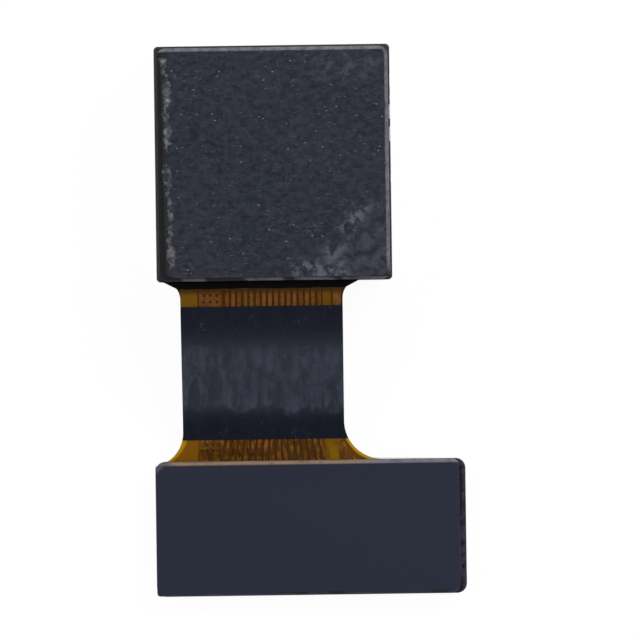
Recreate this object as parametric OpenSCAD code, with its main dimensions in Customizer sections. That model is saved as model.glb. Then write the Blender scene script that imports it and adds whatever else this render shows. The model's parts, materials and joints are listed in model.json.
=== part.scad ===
// Autofocus camera module on a ribbon, with a board-to-board plug.
// Millimetres. The lens looks down, along -Z. The origin is on the optical axis, in the
// plane of the motor can's front face. The ribbon leaves the body towards -Y and bends
// down to the plug, whose mating face lies in the same plane as the can's front face.

/* [Body] */
// Width of the square body, across the motor can and the filter holder
module_w = 8.5; // [8.4:0.1:9.6]
// Thickness of the can's drawn sheet
can_t = 0.2; // [0.15:0.05:0.25]
// Outside corner radius of the can
can_corner_r = 0.35; // [0.3:0.05:0.6]
// Corner radius of the filter holder and of the motor base's flange
holder_corner_r = 0.15; // [0.1:0.05:0.4]
// Corner radius of the board and of what is laminated to it
board_corner_r = 0.12; // [0.05:0.01:0.3]

/* [Lens] */
// Radius of the barrel where it is screwed into the carrier
barrel_r = 3; // [2.85:0.05:3.1]
// Radius of the barrel's nose
nose_r = 2.8; // [2.4:0.05:2.85]
// Length of the barrel's nose
nose_l = 0.5; // [0.3:0.05:0.6]
// Depth of the nose behind the can's front face at rest
front_recess = 0.35; // [0.3:0.05:0.45]
// Thickness of the barrel's front wall, in front of the first lens
front_wall_t = 0.25; // [0.2:0.05:0.35]
// Radius of the light opening in the barrel's front wall
entrance_r = 1; // [0.8:0.05:1.2]
// How much wider the opening is at the front of its cone
entrance_flare = 0.5; // [0.2:0.1:0.8]
// Radius of the first lens, behind the opening
first_lens_r = 1.45; // [1.3:0.05:1.55]
// Radius of the last lens
last_lens_r = 2.45; // [2.3:0.05:2.5]
// Thickness of each lens at its rim
lens_rim_t = 0.5; // [0.42:0.02:0.6]
// Width of each lens's flat rim
lens_rim_w = 0.45; // [0.3:0.05:0.5]
// Height of a lens's face over its rim; each face has its own share of it
lens_sag = 0.1; // [0.05:0.01:0.12]
// Radial clearance of the lenses in the barrel
lens_fit = 0.01; // [0.005:0.005:0.02]
// Thickness of each light baffle
baffle_t = 0.03; // [0.02:0.01:0.05]
// Thickness of the retaining ring
ring_t = 0.2; // [0.1:0.05:0.3]
// Width of the retaining ring
ring_w = 0.35; // [0.2:0.05:0.4]
// Length of barrel behind the retaining ring
barrel_lip = 0.08; // [0.05:0.01:0.15]

/* [Focus motor] */
// Focus travel of the lens towards the front
travel = 0.25; // [0.1:0.05:0.25]
// Clearance left in front of the moving parts at full travel
travel_gap = 0.1; // [0.05:0.01:0.15]
// Clearance between the nose and the can's opening
nose_gap = 0.15; // [0.1:0.01:0.2]
// Thickness of both leaf springs
spring_t = 0.04; // [0.03:0.005:0.06]
// Width of the springs' outer frame
spring_frame_w = 0.27; // [0.2:0.01:0.3]
// Width of the springs' inner ring
spring_ring_w = 0.27; // [0.2:0.01:0.3]
// Width of the springs' arms
spring_arm_w = 0.08; // [0.05:0.01:0.12]
// Clearance between the barrel and the springs' inner ring
spring_ring_gap = 0.03; // [0.02:0.01:0.05]
// Slit between the two halves of the rear spring
spring_slit = 0.15; // [0.1:0.01:0.25]
// Length of the lens carrier between the springs
carrier_l = 1.96; // [1.8:0.02:2.2]
// Wall of the lens carrier under the coil
carrier_wall = 0.3; // [0.2:0.05:0.35]
// Thickness of the carrier's flanges beside the coil
carrier_flange_t = 0.2; // [0.1:0.05:0.3]
// How much wider carrier and coil are across their corners than across their flats
octagon_spread = 0.2; // [0.1:0.05:0.3]
// Thickness of the coil's winding
coil_t = 0.32; // [0.2:0.02:0.36]
// Length of each corner magnet
magnet_l = 1.6; // [1.2:0.05:1.9]
// Air gap between coil and magnets
magnet_gap = 0.12; // [0.08:0.01:0.2]
// Height of the carrier's stop feet above the rear spring
stop_h = 0.2; // [0.1:0.05:0.3]
// Thickness of each stop foot
stop_t = 0.2; // [0.1:0.05:0.22]
// Clearance between the stop feet and the springs' inner ring
stop_gap = 0.05; // [0.03:0.01:0.08]
// Width of each stop foot
stop_w = 0.6; // [0.3:0.1:0.8]
// Thickness of the motor base's floor
base_t = 0.41; // [0.3:0.01:0.6]
// Thickness of the motor base's flange behind the can
base_flange_t = 0.2; // [0.1:0.05:0.25]
// Clearance around the barrel in the base and in the holder
barrel_gap = 0.15; // [0.1:0.05:0.2]
// Width of each motor terminal
terminal_w = 0.45; // [0.3:0.05:0.5]
// Thickness of each motor terminal, which lies in a channel as deep as the can's sheet
terminal_t = 0.12; // [0.06:0.01:0.13]
// Distance between the two motor terminals
terminal_pitch = 0.8; // [0.7:0.05:1.2]
// Distance of the terminals' middle from the optical axis, along Y
terminal_y = 1.4; // [0.8:0.1:2]
// Radius of the solder fillet at each terminal's end
solder_r = 0.08; // [0.05:0.01:0.1]

/* [Holder and filter] */
// Thickness of the glue between motor and holder
motor_glue_t = 0.04; // [0.02:0.01:0.08]
// Clearance between the barrel's rear end and the holder
rear_gap = 0.1; // [0.05:0.05:0.3]
// Thickness of the holder's shelf under the filter
shelf_t = 0.18; // [0.1:0.02:0.3]
// Width of the shelf that the filter lies on, on each side
shelf_w = 0.35; // [0.2:0.05:0.5]
// Filter size along X
filter_w = 5.9; // [5.4:0.1:6.4]
// Filter size along Y
filter_d = 5; // [4.6:0.1:5.2]
// Filter thickness
filter_t = 0.21; // [0.1:0.01:0.3]
// Clearance around the filter
filter_fit = 0.05; // [0.02:0.01:0.1]
// Wall of the holder around the sensor's cavity
holder_wall = 0.6; // [0.5:0.05:0.7]
// Thickness of the glue between holder and board
holder_glue_t = 0.03; // [0.02:0.01:0.08]

/* [Sensor board] */
// How far the square board stays inside the body, on each side
board_inset = 0.05; // [0.02:0.01:0.15]
// Thickness of each rigid layer of the board
laminate_t = 0.14; // [0.08:0.01:0.3]
// Sensor size along X
sensor_w = 5.6; // [5:0.1:5.8]
// Sensor size along Y
sensor_d = 4.7; // [4.2:0.1:5]
// Sensor thickness
sensor_t = 0.2; // [0.1:0.01:0.3]
// Thickness of the film that bonds the sensor to the board
sensor_glue_t = 0.02; // [0.01:0.005:0.04]
// Bond wires along each side of the sensor
wires_per_side = 16; // [8:1:20]
// Distance between bond wires
wire_pitch = 0.25; // [0.15:0.01:0.28]
// Thickness of a bond wire
wire_t = 0.03; // [0.02:0.005:0.04]
// Height of a bond wire's loop over the sensor
wire_loop = 0.1; // [0.06:0.01:0.15]
// Reach of a bond wire beyond the sensor's edge
wire_reach = 0.35; // [0.25:0.05:0.45]
// Clearance between the tallest part in the cavity and the filter
cavity_gap = 0.06; // [0.03:0.01:0.2]
// Length of a capacitor
capacitor_l = 0.6; // [0.4:0.05:0.7]
// Width of a capacitor
capacitor_w = 0.3; // [0.2:0.05:0.4]
// Height of a capacitor
capacitor_h = 0.3; // [0.2:0.05:0.33]
// Distance between capacitors
capacitor_pitch = 0.95; // [0.8:0.05:1.1]
// Length of the focus driver chip
driver_l = 1.4; // [1:0.1:1.8]
// Width of the focus driver chip
driver_w = 0.7; // [0.5:0.05:0.8]
// Height of the focus driver chip
driver_h = 0.3; // [0.2:0.05:0.33]

/* [Rear plate] */
// How far the plate stays inside the board on its left and right
plate_side_inset = 0.04; // [0.01:0.01:0.4]
// How far the plate stays inside the board at its two ends
plate_end_inset = 0.02; // [0.01:0.01:0.3]
// Plate thickness
plate_t = 0.2; // [0.1:0.05:0.3]
// Corner radius of the plate
plate_corner_r = 0.32; // [0.25:0.01:0.5]
// Thickness of the glue under the plate
plate_glue_t = 0.03; // [0.02:0.01:0.08]
// Thickness of the black film on the plate
film_t = 0.06; // [0.03:0.01:0.1]
// Margin of bare plate around the film
film_margin = 0.12; // [0.02:0.01:0.2]

/* [Ribbon] */
// Width of the ribbon's neck
neck_w = 5.85; // [5.2:0.05:6.2]
// Distance of the neck's centre line from the optical axis, along X
neck_x = -0.48; // [-0.8:0.02:0]
// Fillet radius where the neck leaves the board
neck_fillet_r = 0.7; // [0.3:0.05:0.75]
// Radius of the neck's flare at the plug's pad, on the left
flare_left_r = 1.25; // [0.8:0.05:1.4]
// How far that left flare sinks into the pad
flare_left_sink = 0.19; // [0.1:0.01:0.3]
// Radius of the neck's flare at the plug's pad, on the right
flare_right_r = 1.4; // [0.8:0.05:1.8]
// Length of the ribbon between the board and the pad, seen from above
neck_span = 6.55; // [6:0.05:7.5]
// Level stretch of the neck before its first bend
level_at_board = 0.35; // [0.1:0.05:0.6]
// Level stretch of the neck after its second bend
level_at_pad = 0.45; // [0.1:0.05:0.6]
// Radius of both bends
bend_r = 2.4; // [1.5:0.1:2.6]
// Thickness of the polyimide core
core_t = 0.06; // [0.04:0.01:0.1]
// Thickness of the copper
copper_t = 0.018; // [0.012:0.002:0.03]
// Thickness of the amber coverlay on each side
coverlay_t = 0.027; // [0.02:0.001:0.04]
// Thickness of the black shielding film on each side
shield_t = 0.02; // [0.01:0.002:0.03]
// Width of the glue bead that backs the neck where it leaves the board
strain_bead_w = 0.32; // [0.2:0.02:0.5]
// Bare amber stretch between the board and the shielding film
shield_from_board = 0.95; // [0.6:0.05:1.4]
// Bare amber stretch between the shielding film and the pad
shield_from_pad = 0.77; // [0.5:0.01:1.2]
// Narrow traces side by side
trace_count = 16; // [8:1:16]
// Distance between traces
trace_pitch = 0.222; // [0.18:0.002:0.225]
// Width of a trace
trace_w = 0.13; // [0.08:0.01:0.15]
// Distance of the traces' middle from the optical axis, along X
traces_x = -0.06; // [-0.1:0.01:0]
// Distance between traces where they reach the pad
fan_pitch = 0.25; // [0.22:0.005:0.3]
// Width of the left ground plane
ground_w = 0.83; // [0.4:0.01:0.9]
// Clear gap between the ground plane and the traces
ground_gap = 0.12; // [0.08:0.01:0.3]
// Width of the right supply plane
supply_w = 0.3; // [0.2:0.01:0.35]
// Clear margin outside the right supply plane
supply_margin = 0.06; // [0.03:0.01:0.1]
// How far the supply plane spreads to the right where it reaches the pad
supply_fan = 0.5; // [0.1:0.05:0.7]
// Radius of the via holes in the ground plane
via_r = 0.055; // [0.03:0.005:0.07]
// Distance between via holes
via_pitch = 0.24; // [0.2:0.01:0.26]

/* [Connector] */
// Width of the pad that carries the plug
pad_w = 11.25; // [10.5:0.05:12.5]
// Depth of the pad
pad_d = 4.9; // [4.4:0.1:5.6]
// Distance of the pad's centre from the optical axis, along X
pad_x = 1.195; // [0.9:0.05:1.6]
// Corner radius of the pad and of its stiffener
pad_corner_r = 0.36; // [0.1:0.02:0.6]
// Strip of pad that the stiffener leaves bare on the right
pad_bare = 0.22; // [0.05:0.01:0.5]
// Stiffener thickness
stiffener_t = 0.25; // [0.1:0.05:0.4]
// Thickness of the glue under the stiffener
stiffener_glue_t = 0.03; // [0.02:0.01:0.08]
// Margin around the copper plane under the stiffener
pad_plane_margin = 0.35; // [0.2:0.05:0.6]
// Contacts in each of the plug's two rows
contacts_per_row = 15; // [8:1:17]
// Distance between contacts
contact_pitch = 0.4; // [0.35:0.01:0.45]
// Width of a contact
contact_w = 0.2; // [0.12:0.01:0.25]
// Thickness of a contact
contact_t = 0.07; // [0.04:0.01:0.09]
// Length of a contact's solder tail
tail_l = 0.28; // [0.15:0.01:0.35]
// Height of the plug
plug_h = 0.8; // [0.7:0.05:1.2]
// Distance between the outer sides of the plug's two contact walls
plug_wall_span = 1.9; // [1.7:0.05:2.3]
// Thickness of each contact wall
plug_wall_t = 0.42; // [0.3:0.02:0.45]
// Thickness of the plug's floor
plug_floor_t = 0.22; // [0.15:0.01:0.3]
// Length of each end of the plug beyond its contacts
plug_end_l = 0.7; // [0.6:0.05:1]
// Length of each hold-down tab
tab_l = 0.3; // [0.2:0.05:0.4]
// Width of each hold-down tab
tab_w = 1.1; // [0.6:0.1:1.4]
// Thickness of the solder lands on the pad
land_t = 0.02; // [0.012:0.002:0.03]
// How much longer a solder land is than its tail
land_margin = 0.06; // [0.02:0.01:0.1]
// Margin of the coverlay's window around the plug
window_margin = 0.15; // [0.1:0.01:0.3]

/* [Hidden] */
$fn = 64;

// A cut runs this far past the face that it opens
over = 0.5;
// Steps in each bend of the ribbon
bend_steps = 12;
// Steps round the lenses' faces, which are caps of much larger spheres
lens_fn = 240;

// The lenses widen evenly from the first to the last. Each face has its share of lens_sag, from
// the front lens to the rear one: positive bulges out of the lens, negative is hollow.
lens_n = 5;
front_share = [1.5, -0.8, 0.6, -1.6, -2];
rear_share = [-0.6, -1.2, 0.8, 1.2, -1.2];
function lens_r(i) = first_lens_r + (last_lens_r - first_lens_r) * i / (lens_n - 1);
// Radius of the curved zone in front of lens i, and behind the last one
function clear_r(i) = i == 0 ? entrance_r - lens_fit : lens_r(i - 1) - lens_rim_w;

// Half widths
half = module_w / 2;
can_in = half - can_t;
frame_in = can_in - spring_frame_w;
cavity_w = module_w - 2 * holder_wall;
board_w = module_w - 2 * board_inset;
board_half = board_w / 2;
plate_w = board_w - 2 * plate_side_inset;
plate_d = board_w - 2 * plate_end_inset;

film_corner_r = plate_corner_r - film_margin;

// Radii of the springs' inner ring and arms, and the angles between which an arm runs
spring_ring_in = barrel_r + spring_ring_gap;
spring_ring_out = spring_ring_in + spring_ring_w;
spring_arm_r = (spring_ring_out + frame_in) / 2;
arm_from = 15;
arm_to = 75;

// The carrier and the coil are octagons, given by their half widths across flats and corners
carrier_half = barrel_r + carrier_wall;
coil_half = carrier_half + coil_t;
stop_in = spring_ring_out + stop_gap;

// The capacitors' rows lie halfway between the sensor and the cavity's wall
chip_row_y = (sensor_d + cavity_w) / 4;

// Heights through the motor, from the front
z_spring_front = can_t + travel_gap + travel;
z_carrier = z_spring_front + spring_t;
z_spring_rear = z_carrier + carrier_l;
z_base_rim = z_spring_rear + spring_t;
z_base_floor = z_base_rim + stop_h;
z_motor_rear = z_base_floor + base_t;
z_can_rim = z_motor_rear - base_flange_t;

// Heights through the lens
function lens_z(i) = front_recess + front_wall_t + i * (lens_rim_t + baffle_t);
z_ring = lens_z(lens_n - 1) + lens_rim_t;
z_barrel_rear = z_ring + ring_t + barrel_lip;

// Heights through the holder, the board and the plate
z_holder = z_motor_rear + motor_glue_t;
z_shelf = max(z_barrel_rear + rear_gap, z_holder);
z_filter = z_shelf + shelf_t;
z_cavity = z_filter + filter_t;
sensor_stack = sensor_glue_t + sensor_t + wire_loop + wire_t;
z_board = z_cavity + cavity_gap + max(sensor_stack, capacitor_h, driver_h);
z_holder_rear = z_board - holder_glue_t;
z_core = z_board + laminate_t;
z_core_rear = z_core + core_t;
z_plate_glue = z_core_rear + laminate_t;
z_plate = z_plate_glue + plate_glue_t;
z_film = z_plate + plate_t;

// Heights through the connector
z_land = plug_h;
z_pad_core = z_land + land_t;
z_pad_rear = z_pad_core + core_t;
z_stiffener_glue = z_pad_rear + copper_t + coverlay_t;
z_stiffener = z_stiffener_glue + stiffener_glue_t;

// Plan of the ribbon
neck_left = neck_x - neck_w / 2;
neck_right = neck_x + neck_w / 2;
pad_top = -board_half - neck_span;
pad_y = pad_top - pad_d / 2;
pad_bottom = pad_top - pad_d;
pad_left = pad_x - pad_w / 2;
pad_right = pad_x + pad_w / 2;
shield_top = -board_half - shield_from_board;
shield_bottom = pad_top + shield_from_pad;
ground_right = traces_x - ((trace_count - 1) * trace_pitch + trace_w) / 2 - ground_gap;
supply_right = neck_right - supply_margin;
trace_end = pad_top - pad_plane_margin / 2;

// The two bends: a straight slope lies between them, on their common tangent
bend_top = -board_half - level_at_board;
bend_bottom = pad_top + level_at_pad;
bend_run = bend_top - bend_bottom;
bend_drop = z_core_rear - z_pad_rear;
slope_l = sqrt(pow(bend_run, 2) + pow(bend_drop, 2) - 4 * bend_r * bend_drop);
bend_angle = 2 * atan(bend_drop / (bend_run + slope_l));

// Plug
contact_span = (contacts_per_row - 1) * contact_pitch;
plug_l = contact_span + contact_w + 2 * plug_end_l;
plug_w = plug_wall_span + 2 * contact_t + 2 * tail_l;
contact_wall_top = plug_h - plug_floor_t;

// Rounded rectangle, centred on the origin
module rounded_rect(w, d, r) {
    square([w - 2 * r, d], center = true);
    square([w, d - 2 * r], center = true);
    for (x = [-1, 1], y = [-1, 1])
        translate([x * (w / 2 - r), y * (d / 2 - r)]) circle(r);
}

// Rectangular frame with an outside corner radius and a straight inside
module frame(outer, r, inner) {
    difference() {
        rounded_rect(outer, outer, r);
        square(inner, center = true);
    }
}

// Octagon from a square and a turned square, with the given half width across its flats
module octagon(flat) {
    intersection() {
        square(2 * flat, center = true);
        rotate(45) square(2 * (flat + octagon_spread), center = true);
    }
}

// A slab of a drawn outline, from z0 to z1
module slab(z0, z1) {
    translate([0, 0, z0]) linear_extrude(z1 - z0) children();
}

// ---- Focus motor

// Drawn cup, open at the rear, with the opening that the nose moves in
module motor_can() {
    color("#8d8f94") difference() {
        slab(0, z_can_rim) rounded_rect(module_w, module_w, can_corner_r);
        slab(can_t, z_can_rim + over)
            rounded_rect(2 * can_in, 2 * can_in, max(can_corner_r - can_t, 0.05));
        slab(-over, can_t + over) circle(nose_r + nose_gap);
    }
}

module front_spacer() {
    color("#26262a") slab(can_t, z_spring_front) frame(2 * can_in, can_corner_r, 2 * frame_in);
}

// A straight link that joins an arm's end to the ring or to the frame
module spring_link(angle, from, to) {
    rotate(angle) translate([from, -spring_arm_w / 2]) square([to - from, spring_arm_w]);
}

// One arm: an arc between the inner ring and the outer frame, with a link at each end
module spring_arm() {
    intersection() {
        difference() {
            circle(spring_arm_r + spring_arm_w / 2);
            circle(spring_arm_r - spring_arm_w / 2);
        }
        polygon([
            [0, 0],
            2 * can_in * [cos(arm_from), sin(arm_from)],
            2 * can_in * [cos(arm_to), sin(arm_to)]
        ]);
    }
    spring_link(arm_from, spring_ring_out - spring_ring_w / 2, spring_arm_r + spring_arm_w);
    spring_link(arm_to, spring_arm_r - spring_arm_w, (can_in - spring_frame_w / 2) / sin(arm_to));
}

module leaf_spring() {
    frame(2 * can_in, can_corner_r, 2 * frame_in);
    difference() {
        circle(spring_ring_out);
        circle(spring_ring_in);
    }
    for (q = [0:3]) rotate(90 * q) spring_arm();
}

module front_spring() {
    color("#c9a35c") slab(z_spring_front, z_carrier) leaf_spring();
}

// The rear spring carries the coil's current, so it is in two halves
module rear_spring() {
    color("#c9a35c") slab(z_spring_rear, z_base_rim) difference() {
        leaf_spring();
        square([2 * half, spring_slit], center = true);
    }
}

// Four corner magnets, each with its flat face to the coil
module magnets() {
    reach = sqrt(2) * (coil_half + octagon_spread + magnet_gap) - can_in;
    color("#6e7178") slab(z_carrier, z_carrier + magnet_l)
        for (q = [0:3]) rotate(90 * q) polygon([
            [can_in, reach],
            [can_in, can_in - can_corner_r],
            [can_in - can_corner_r, can_in],
            [reach, can_in]
        ]);
}

module coil() {
    color("#b5652b")
        slab(z_carrier + carrier_flange_t, z_spring_rear - carrier_flange_t) difference() {
            octagon(coil_half);
            octagon(carrier_half);
        }
}

// Bobbin with a flange on each side of the coil, and four feet that stop it on the base
module lens_carrier() {
    color("#1d1d20") {
        difference() {
            union() {
                slab(z_carrier, z_spring_rear) octagon(carrier_half);
                slab(z_carrier, z_carrier + carrier_flange_t) octagon(coil_half);
                slab(z_spring_rear - carrier_flange_t, z_spring_rear) octagon(coil_half);
                for (q = [0:3]) slab(z_spring_rear - carrier_flange_t / 2, z_base_floor)
                    rotate(90 * q) translate([stop_in, -stop_w / 2]) square([stop_t, stop_w]);
            }
            slab(z_carrier - over, z_base_floor + over) circle(barrel_r);
        }
    }
}

// Channels in the side of the body, one for each motor terminal, as deep as the can's sheet
module terminal_channels() {
    for (s = [-1, 1])
        translate([can_in, terminal_y + s * terminal_pitch / 2 - terminal_w / 2])
            square([can_t + over, terminal_w]);
}

module motor_base() {
    color("#1b1b1e") difference() {
        union() {
            slab(z_base_rim, z_base_floor) frame(2 * can_in, can_corner_r, 2 * frame_in);
            slab(z_base_floor, z_motor_rear) rounded_rect(2 * can_in, 2 * can_in, can_corner_r);
            slab(z_can_rim, z_motor_rear) rounded_rect(module_w, module_w, holder_corner_r);
        }
        slab(z_base_floor - over, z_motor_rear + over) circle(barrel_r + barrel_gap);
        slab(z_can_rim, z_motor_rear + over) terminal_channels();
    }
}

// Two strips that run from the base to the board in their channels
module motor_terminals() {
    color("#c8b273") slab(z_can_rim, z_board)
        for (s = [-1, 1])
            translate([can_in, terminal_y + s * terminal_pitch / 2 - terminal_w / 2])
                square([terminal_t, terminal_w]);
}

// A quarter-round fillet of solder between each terminal and the board
module terminal_solder() {
    color("#b9bcc2")
        for (s = [-1, 1])
            translate([
                can_in + terminal_t,
                terminal_y + s * terminal_pitch / 2,
                z_board
            ])
                intersection() {
                    rotate([90, 0, 0]) cylinder(r = solder_r, h = terminal_w, center = true);
                    translate([0, -terminal_w, -2 * solder_r])
                        cube([2 * solder_r, 2 * terminal_w, 2 * solder_r]);
                }
}

// ---- Lens

module lens_barrel() {
    color("#17171a") difference() {
        union() {
            slab(front_recess, front_recess + nose_l) circle(nose_r);
            slab(front_recess + nose_l, z_barrel_rear) circle(barrel_r);
        }
        translate([0, 0, front_recess - over]) cylinder(r = entrance_r, h = front_wall_t + 2 * over);
        translate([0, 0, front_recess])
            cylinder(r1 = entrance_r + entrance_flare, r2 = entrance_r, h = front_wall_t);
        for (i = [0:lens_n - 1])
            slab(lens_z(i), i < lens_n - 1 ? lens_z(i + 1) + baffle_t : z_barrel_rear + over)
                circle(lens_r(i) + lens_fit);
    }
}

// Radius of the sphere whose cap has this radius and height
function cap_r(r, sag) = (r * r + sag * sag) / (2 * abs(sag));

// One lens: a flat rim with a curved zone on each side
module lens(i) {
    z0 = lens_z(i);
    z1 = z0 + lens_rim_t;
    front_sag = front_share[i] * lens_sag;
    rear_sag = rear_share[i] * lens_sag;
    front = cap_r(clear_r(i), front_sag);
    rear = cap_r(clear_r(i + 1), rear_sag);
    difference() {
        union() {
            slab(z0, z1) circle(lens_r(i));
            if (front_sag > 0) intersection() {
                translate([0, 0, z0 - front_sag + front]) sphere(front, $fn = lens_fn);
                slab(z0 - 2 * front_sag, z0 + baffle_t) circle(lens_r(i) - lens_fit);
            }
            if (rear_sag > 0) intersection() {
                translate([0, 0, z1 + rear_sag - rear]) sphere(rear, $fn = lens_fn);
                slab(z1 - baffle_t, z1 + 2 * rear_sag) circle(lens_r(i) - lens_fit);
            }
        }
        if (front_sag < 0) translate([0, 0, z0 - front_sag - front]) sphere(front, $fn = lens_fn);
        if (rear_sag < 0) translate([0, 0, z1 + rear_sag + rear]) sphere(rear, $fn = lens_fn);
    }
}

module lens_1() { color("#7f9bb8", 0.5) lens(0); }
module lens_2() { color("#8aa4bd", 0.5) lens(1); }
module lens_3() { color("#93abc2", 0.5) lens(2); }
module lens_4() { color("#9db3c7", 0.5) lens(3); }
module lens_5() { color("#a7bbcc", 0.5) lens(4); }

// A thin black ring behind each lens but the last
module lens_baffles() {
    color("#101012")
        for (i = [0:lens_n - 2]) slab(lens_z(i + 1) - baffle_t, lens_z(i + 1)) difference() {
            circle(lens_r(i));
            circle(clear_r(i + 1) + lens_fit);
        }
}

module retaining_ring() {
    color("#1a1a1c") slab(z_ring, z_ring + ring_t) difference() {
        circle(last_lens_r);
        circle(last_lens_r - ring_w);
    }
}

// ---- Holder, filter and sensor

// A bead of glue all round, as wide as the holder's wall inside the can's sheet
module glue_bead(z0, z1) {
    color("#3a3a3e") slab(z0, z1) frame(2 * can_in, can_corner_r, cavity_w);
}

module motor_glue() {
    glue_bead(z_motor_rear, z_holder);
}

module filter_holder() {
    color("#202124") difference() {
        slab(z_holder, z_holder_rear) rounded_rect(module_w, module_w, holder_corner_r);
        slab(z_holder - over, z_shelf) circle(barrel_r + barrel_gap);
        slab(z_holder - over, z_filter + over)
            square([filter_w - 2 * shelf_w, filter_d - 2 * shelf_w], center = true);
        slab(z_filter, z_cavity + over)
            square([filter_w + 2 * filter_fit, filter_d + 2 * filter_fit], center = true);
        slab(z_cavity, z_holder_rear + over) square(cavity_w, center = true);
        slab(z_holder - over, z_holder_rear + over) terminal_channels();
    }
}

module ir_filter() {
    color("#6fa8b8", 0.6) slab(z_filter, z_cavity) square([filter_w, filter_d], center = true);
}

module holder_glue() {
    glue_bead(z_holder_rear, z_board);
}

module image_sensor() {
    color("#3f4f63") slab(z_board - sensor_glue_t - sensor_t, z_board - sensor_glue_t)
        square([sensor_w, sensor_d], center = true);
}

module sensor_glue() {
    color("#c9c9c4") slab(z_board - sensor_glue_t, z_board) square([sensor_w, sensor_d], center = true);
}

// One wire in the XZ plane: up from the sensor, over its edge and down to the board
function wire_outline() = let (
    face = z_board - sensor_glue_t - sensor_t,
    on_sensor = sensor_w / 2 - wire_reach / 2,
    shoulder = sensor_w / 2 + wire_reach / 3,
    on_board = sensor_w / 2 + wire_reach
) [
    [on_sensor - wire_t, face],
    [on_sensor, face - wire_loop - wire_t],
    [shoulder, face - wire_loop - wire_t],
    [on_board + wire_t, z_board],
    [on_board, z_board],
    [shoulder - wire_t / 2, face - wire_loop],
    [on_sensor + wire_t / 2, face - wire_loop],
    [on_sensor + wire_t / 2, face]
];

module bond_wires() {
    color("#e0b04a")
        for (side = [0, 1], k = [0:wires_per_side - 1])
            mirror([side, 0, 0])
                translate([0, (k - (wires_per_side - 1) / 2) * wire_pitch + wire_t / 2, 0])
                    rotate([90, 0, 0]) linear_extrude(wire_t) polygon(wire_outline());
}

// A row of capacitors along each free edge of the sensor; the driver chip takes part of one row
module capacitors() {
    color("#b89c74")
        for (k = [-3:3], s = [-1, 1])
            if (s < 0 || k > 0)
                translate([k * capacitor_pitch, s * chip_row_y, z_board - capacitor_h / 2])
                    cube([capacitor_l, capacitor_w, capacitor_h], center = true);
}

module driver_chip() {
    color("#2a2c31")
        translate([-driver_l / 2 - capacitor_w, chip_row_y, z_board - driver_h / 2])
            cube([driver_l, driver_w, driver_h], center = true);
}

// ---- Board and ribbon

module board_outline() {
    rounded_rect(board_w, board_w, board_corner_r);
}

module board_front_layer() {
    color("#1f3a2c") slab(z_board, z_core) board_outline();
}

module board_rear_layer() {
    color("#1c1d20") slab(z_core_rear, z_plate_glue) board_outline();
}

// Fills the inside corner between an upright edge at x and a level edge at y with a fillet.
// side is the way out of the neck, 1 or -1, and up is the way from the level edge into the gap.
module inside_fillet(x, y, r, side, up) {
    translate([x, y]) difference() {
        translate([side > 0 ? -over : -r, up > 0 ? -over : -r]) square(r + over);
        translate([side * r, up * r]) circle(r);
    }
}

// Everything of the ribbon beyond the board, seen from above
module neck_outline() {
    translate([neck_left, pad_top - over]) square([neck_w, neck_span + over]);
    inside_fillet(neck_left, -board_half, neck_fillet_r, -1, -1);
    inside_fillet(neck_right, -board_half, neck_fillet_r, 1, -1);
    intersection() {
        inside_fillet(neck_left, pad_top - flare_left_sink, flare_left_r, -1, 1);
        translate([pad_left, pad_bottom]) square([pad_w, pad_d + neck_span]);
    }
    inside_fillet(neck_right, pad_top, flare_right_r, 1, 1);
    translate([pad_x, pad_y]) rounded_rect(pad_w, pad_d, pad_corner_r);
}

module ribbon_outline() {
    intersection() {
        neck_outline();
        translate([pad_left - over, pad_bottom - over])
            square([pad_w + 2 * over, pad_d + neck_span + over]);
    }
}

// The line that runs along the ribbon at a height above the core's rear face, as [y, z] points
function ribbon_line(height) = concat(
    [[board_half, z_core_rear + height]],
    [for (i = [0:bend_steps]) let (a = bend_angle * i / bend_steps) [
        bend_top - (bend_r + height) * sin(a),
        z_core_rear - bend_r + (bend_r + height) * cos(a)
    ]],
    [for (i = [bend_steps:-1:0]) let (a = bend_angle * i / bend_steps) [
        bend_bottom + (bend_r - height) * sin(a),
        z_pad_rear + bend_r - (bend_r - height) * cos(a)
    ]],
    [[pad_bottom, z_pad_rear + height]]
);

function backwards(points) = [for (i = [len(points) - 1:-1:0]) points[i]];

// One layer of the ribbon between two heights, cut to a drawn outline
module ribbon_layer(low, high) {
    intersection() {
        translate([pad_left - over, 0, 0]) rotate([90, 0, 90])
            linear_extrude(pad_w + 2 * over)
                polygon(concat(ribbon_line(high), backwards(ribbon_line(low))));
        slab(-over, z_film + over) children();
    }
}

module flex_core() {
    color("#8a6a24") ribbon_layer(-core_t, 0) union() {
        board_outline();
        ribbon_outline();
    }
}

// Distance of trace k from the optical axis, at the given pitch
function trace_x(k, pitch) = traces_x + (k - (trace_count - 1) / 2) * pitch;

// A trace: straight along the neck, then spread towards the pad
module trace_outline(k) {
    x0 = trace_x(k, trace_pitch);
    x1 = trace_x(k, fan_pitch);
    polygon([
        [x0 - trace_w / 2, -board_half],
        [x0 - trace_w / 2, shield_bottom],
        [x1 - trace_w / 2, trace_end],
        [x1 + trace_w / 2, trace_end],
        [x0 + trace_w / 2, shield_bottom],
        [x0 + trace_w / 2, -board_half]
    ]);
}

module ground_outline() {
    fan = (fan_pitch - trace_pitch) * (trace_count - 1) / 2;
    difference() {
        polygon([
            [ground_right - ground_w, -board_half],
            [ground_right - ground_w, shield_bottom],
            [ground_right - ground_w - fan, trace_end],
            [ground_right - fan, trace_end],
            [ground_right, shield_bottom],
            [ground_right, -board_half]
        ]);
        for (row = [0:1], column = [-1:1], zone = [0, 1])
            translate([
                ground_right - ground_w / 2 + column * via_pitch,
                zone ? shield_bottom - via_pitch * (row + 0.7) : shield_top + via_pitch * (row + 0.7)
            ])
                circle(via_r);
    }
}

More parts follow.
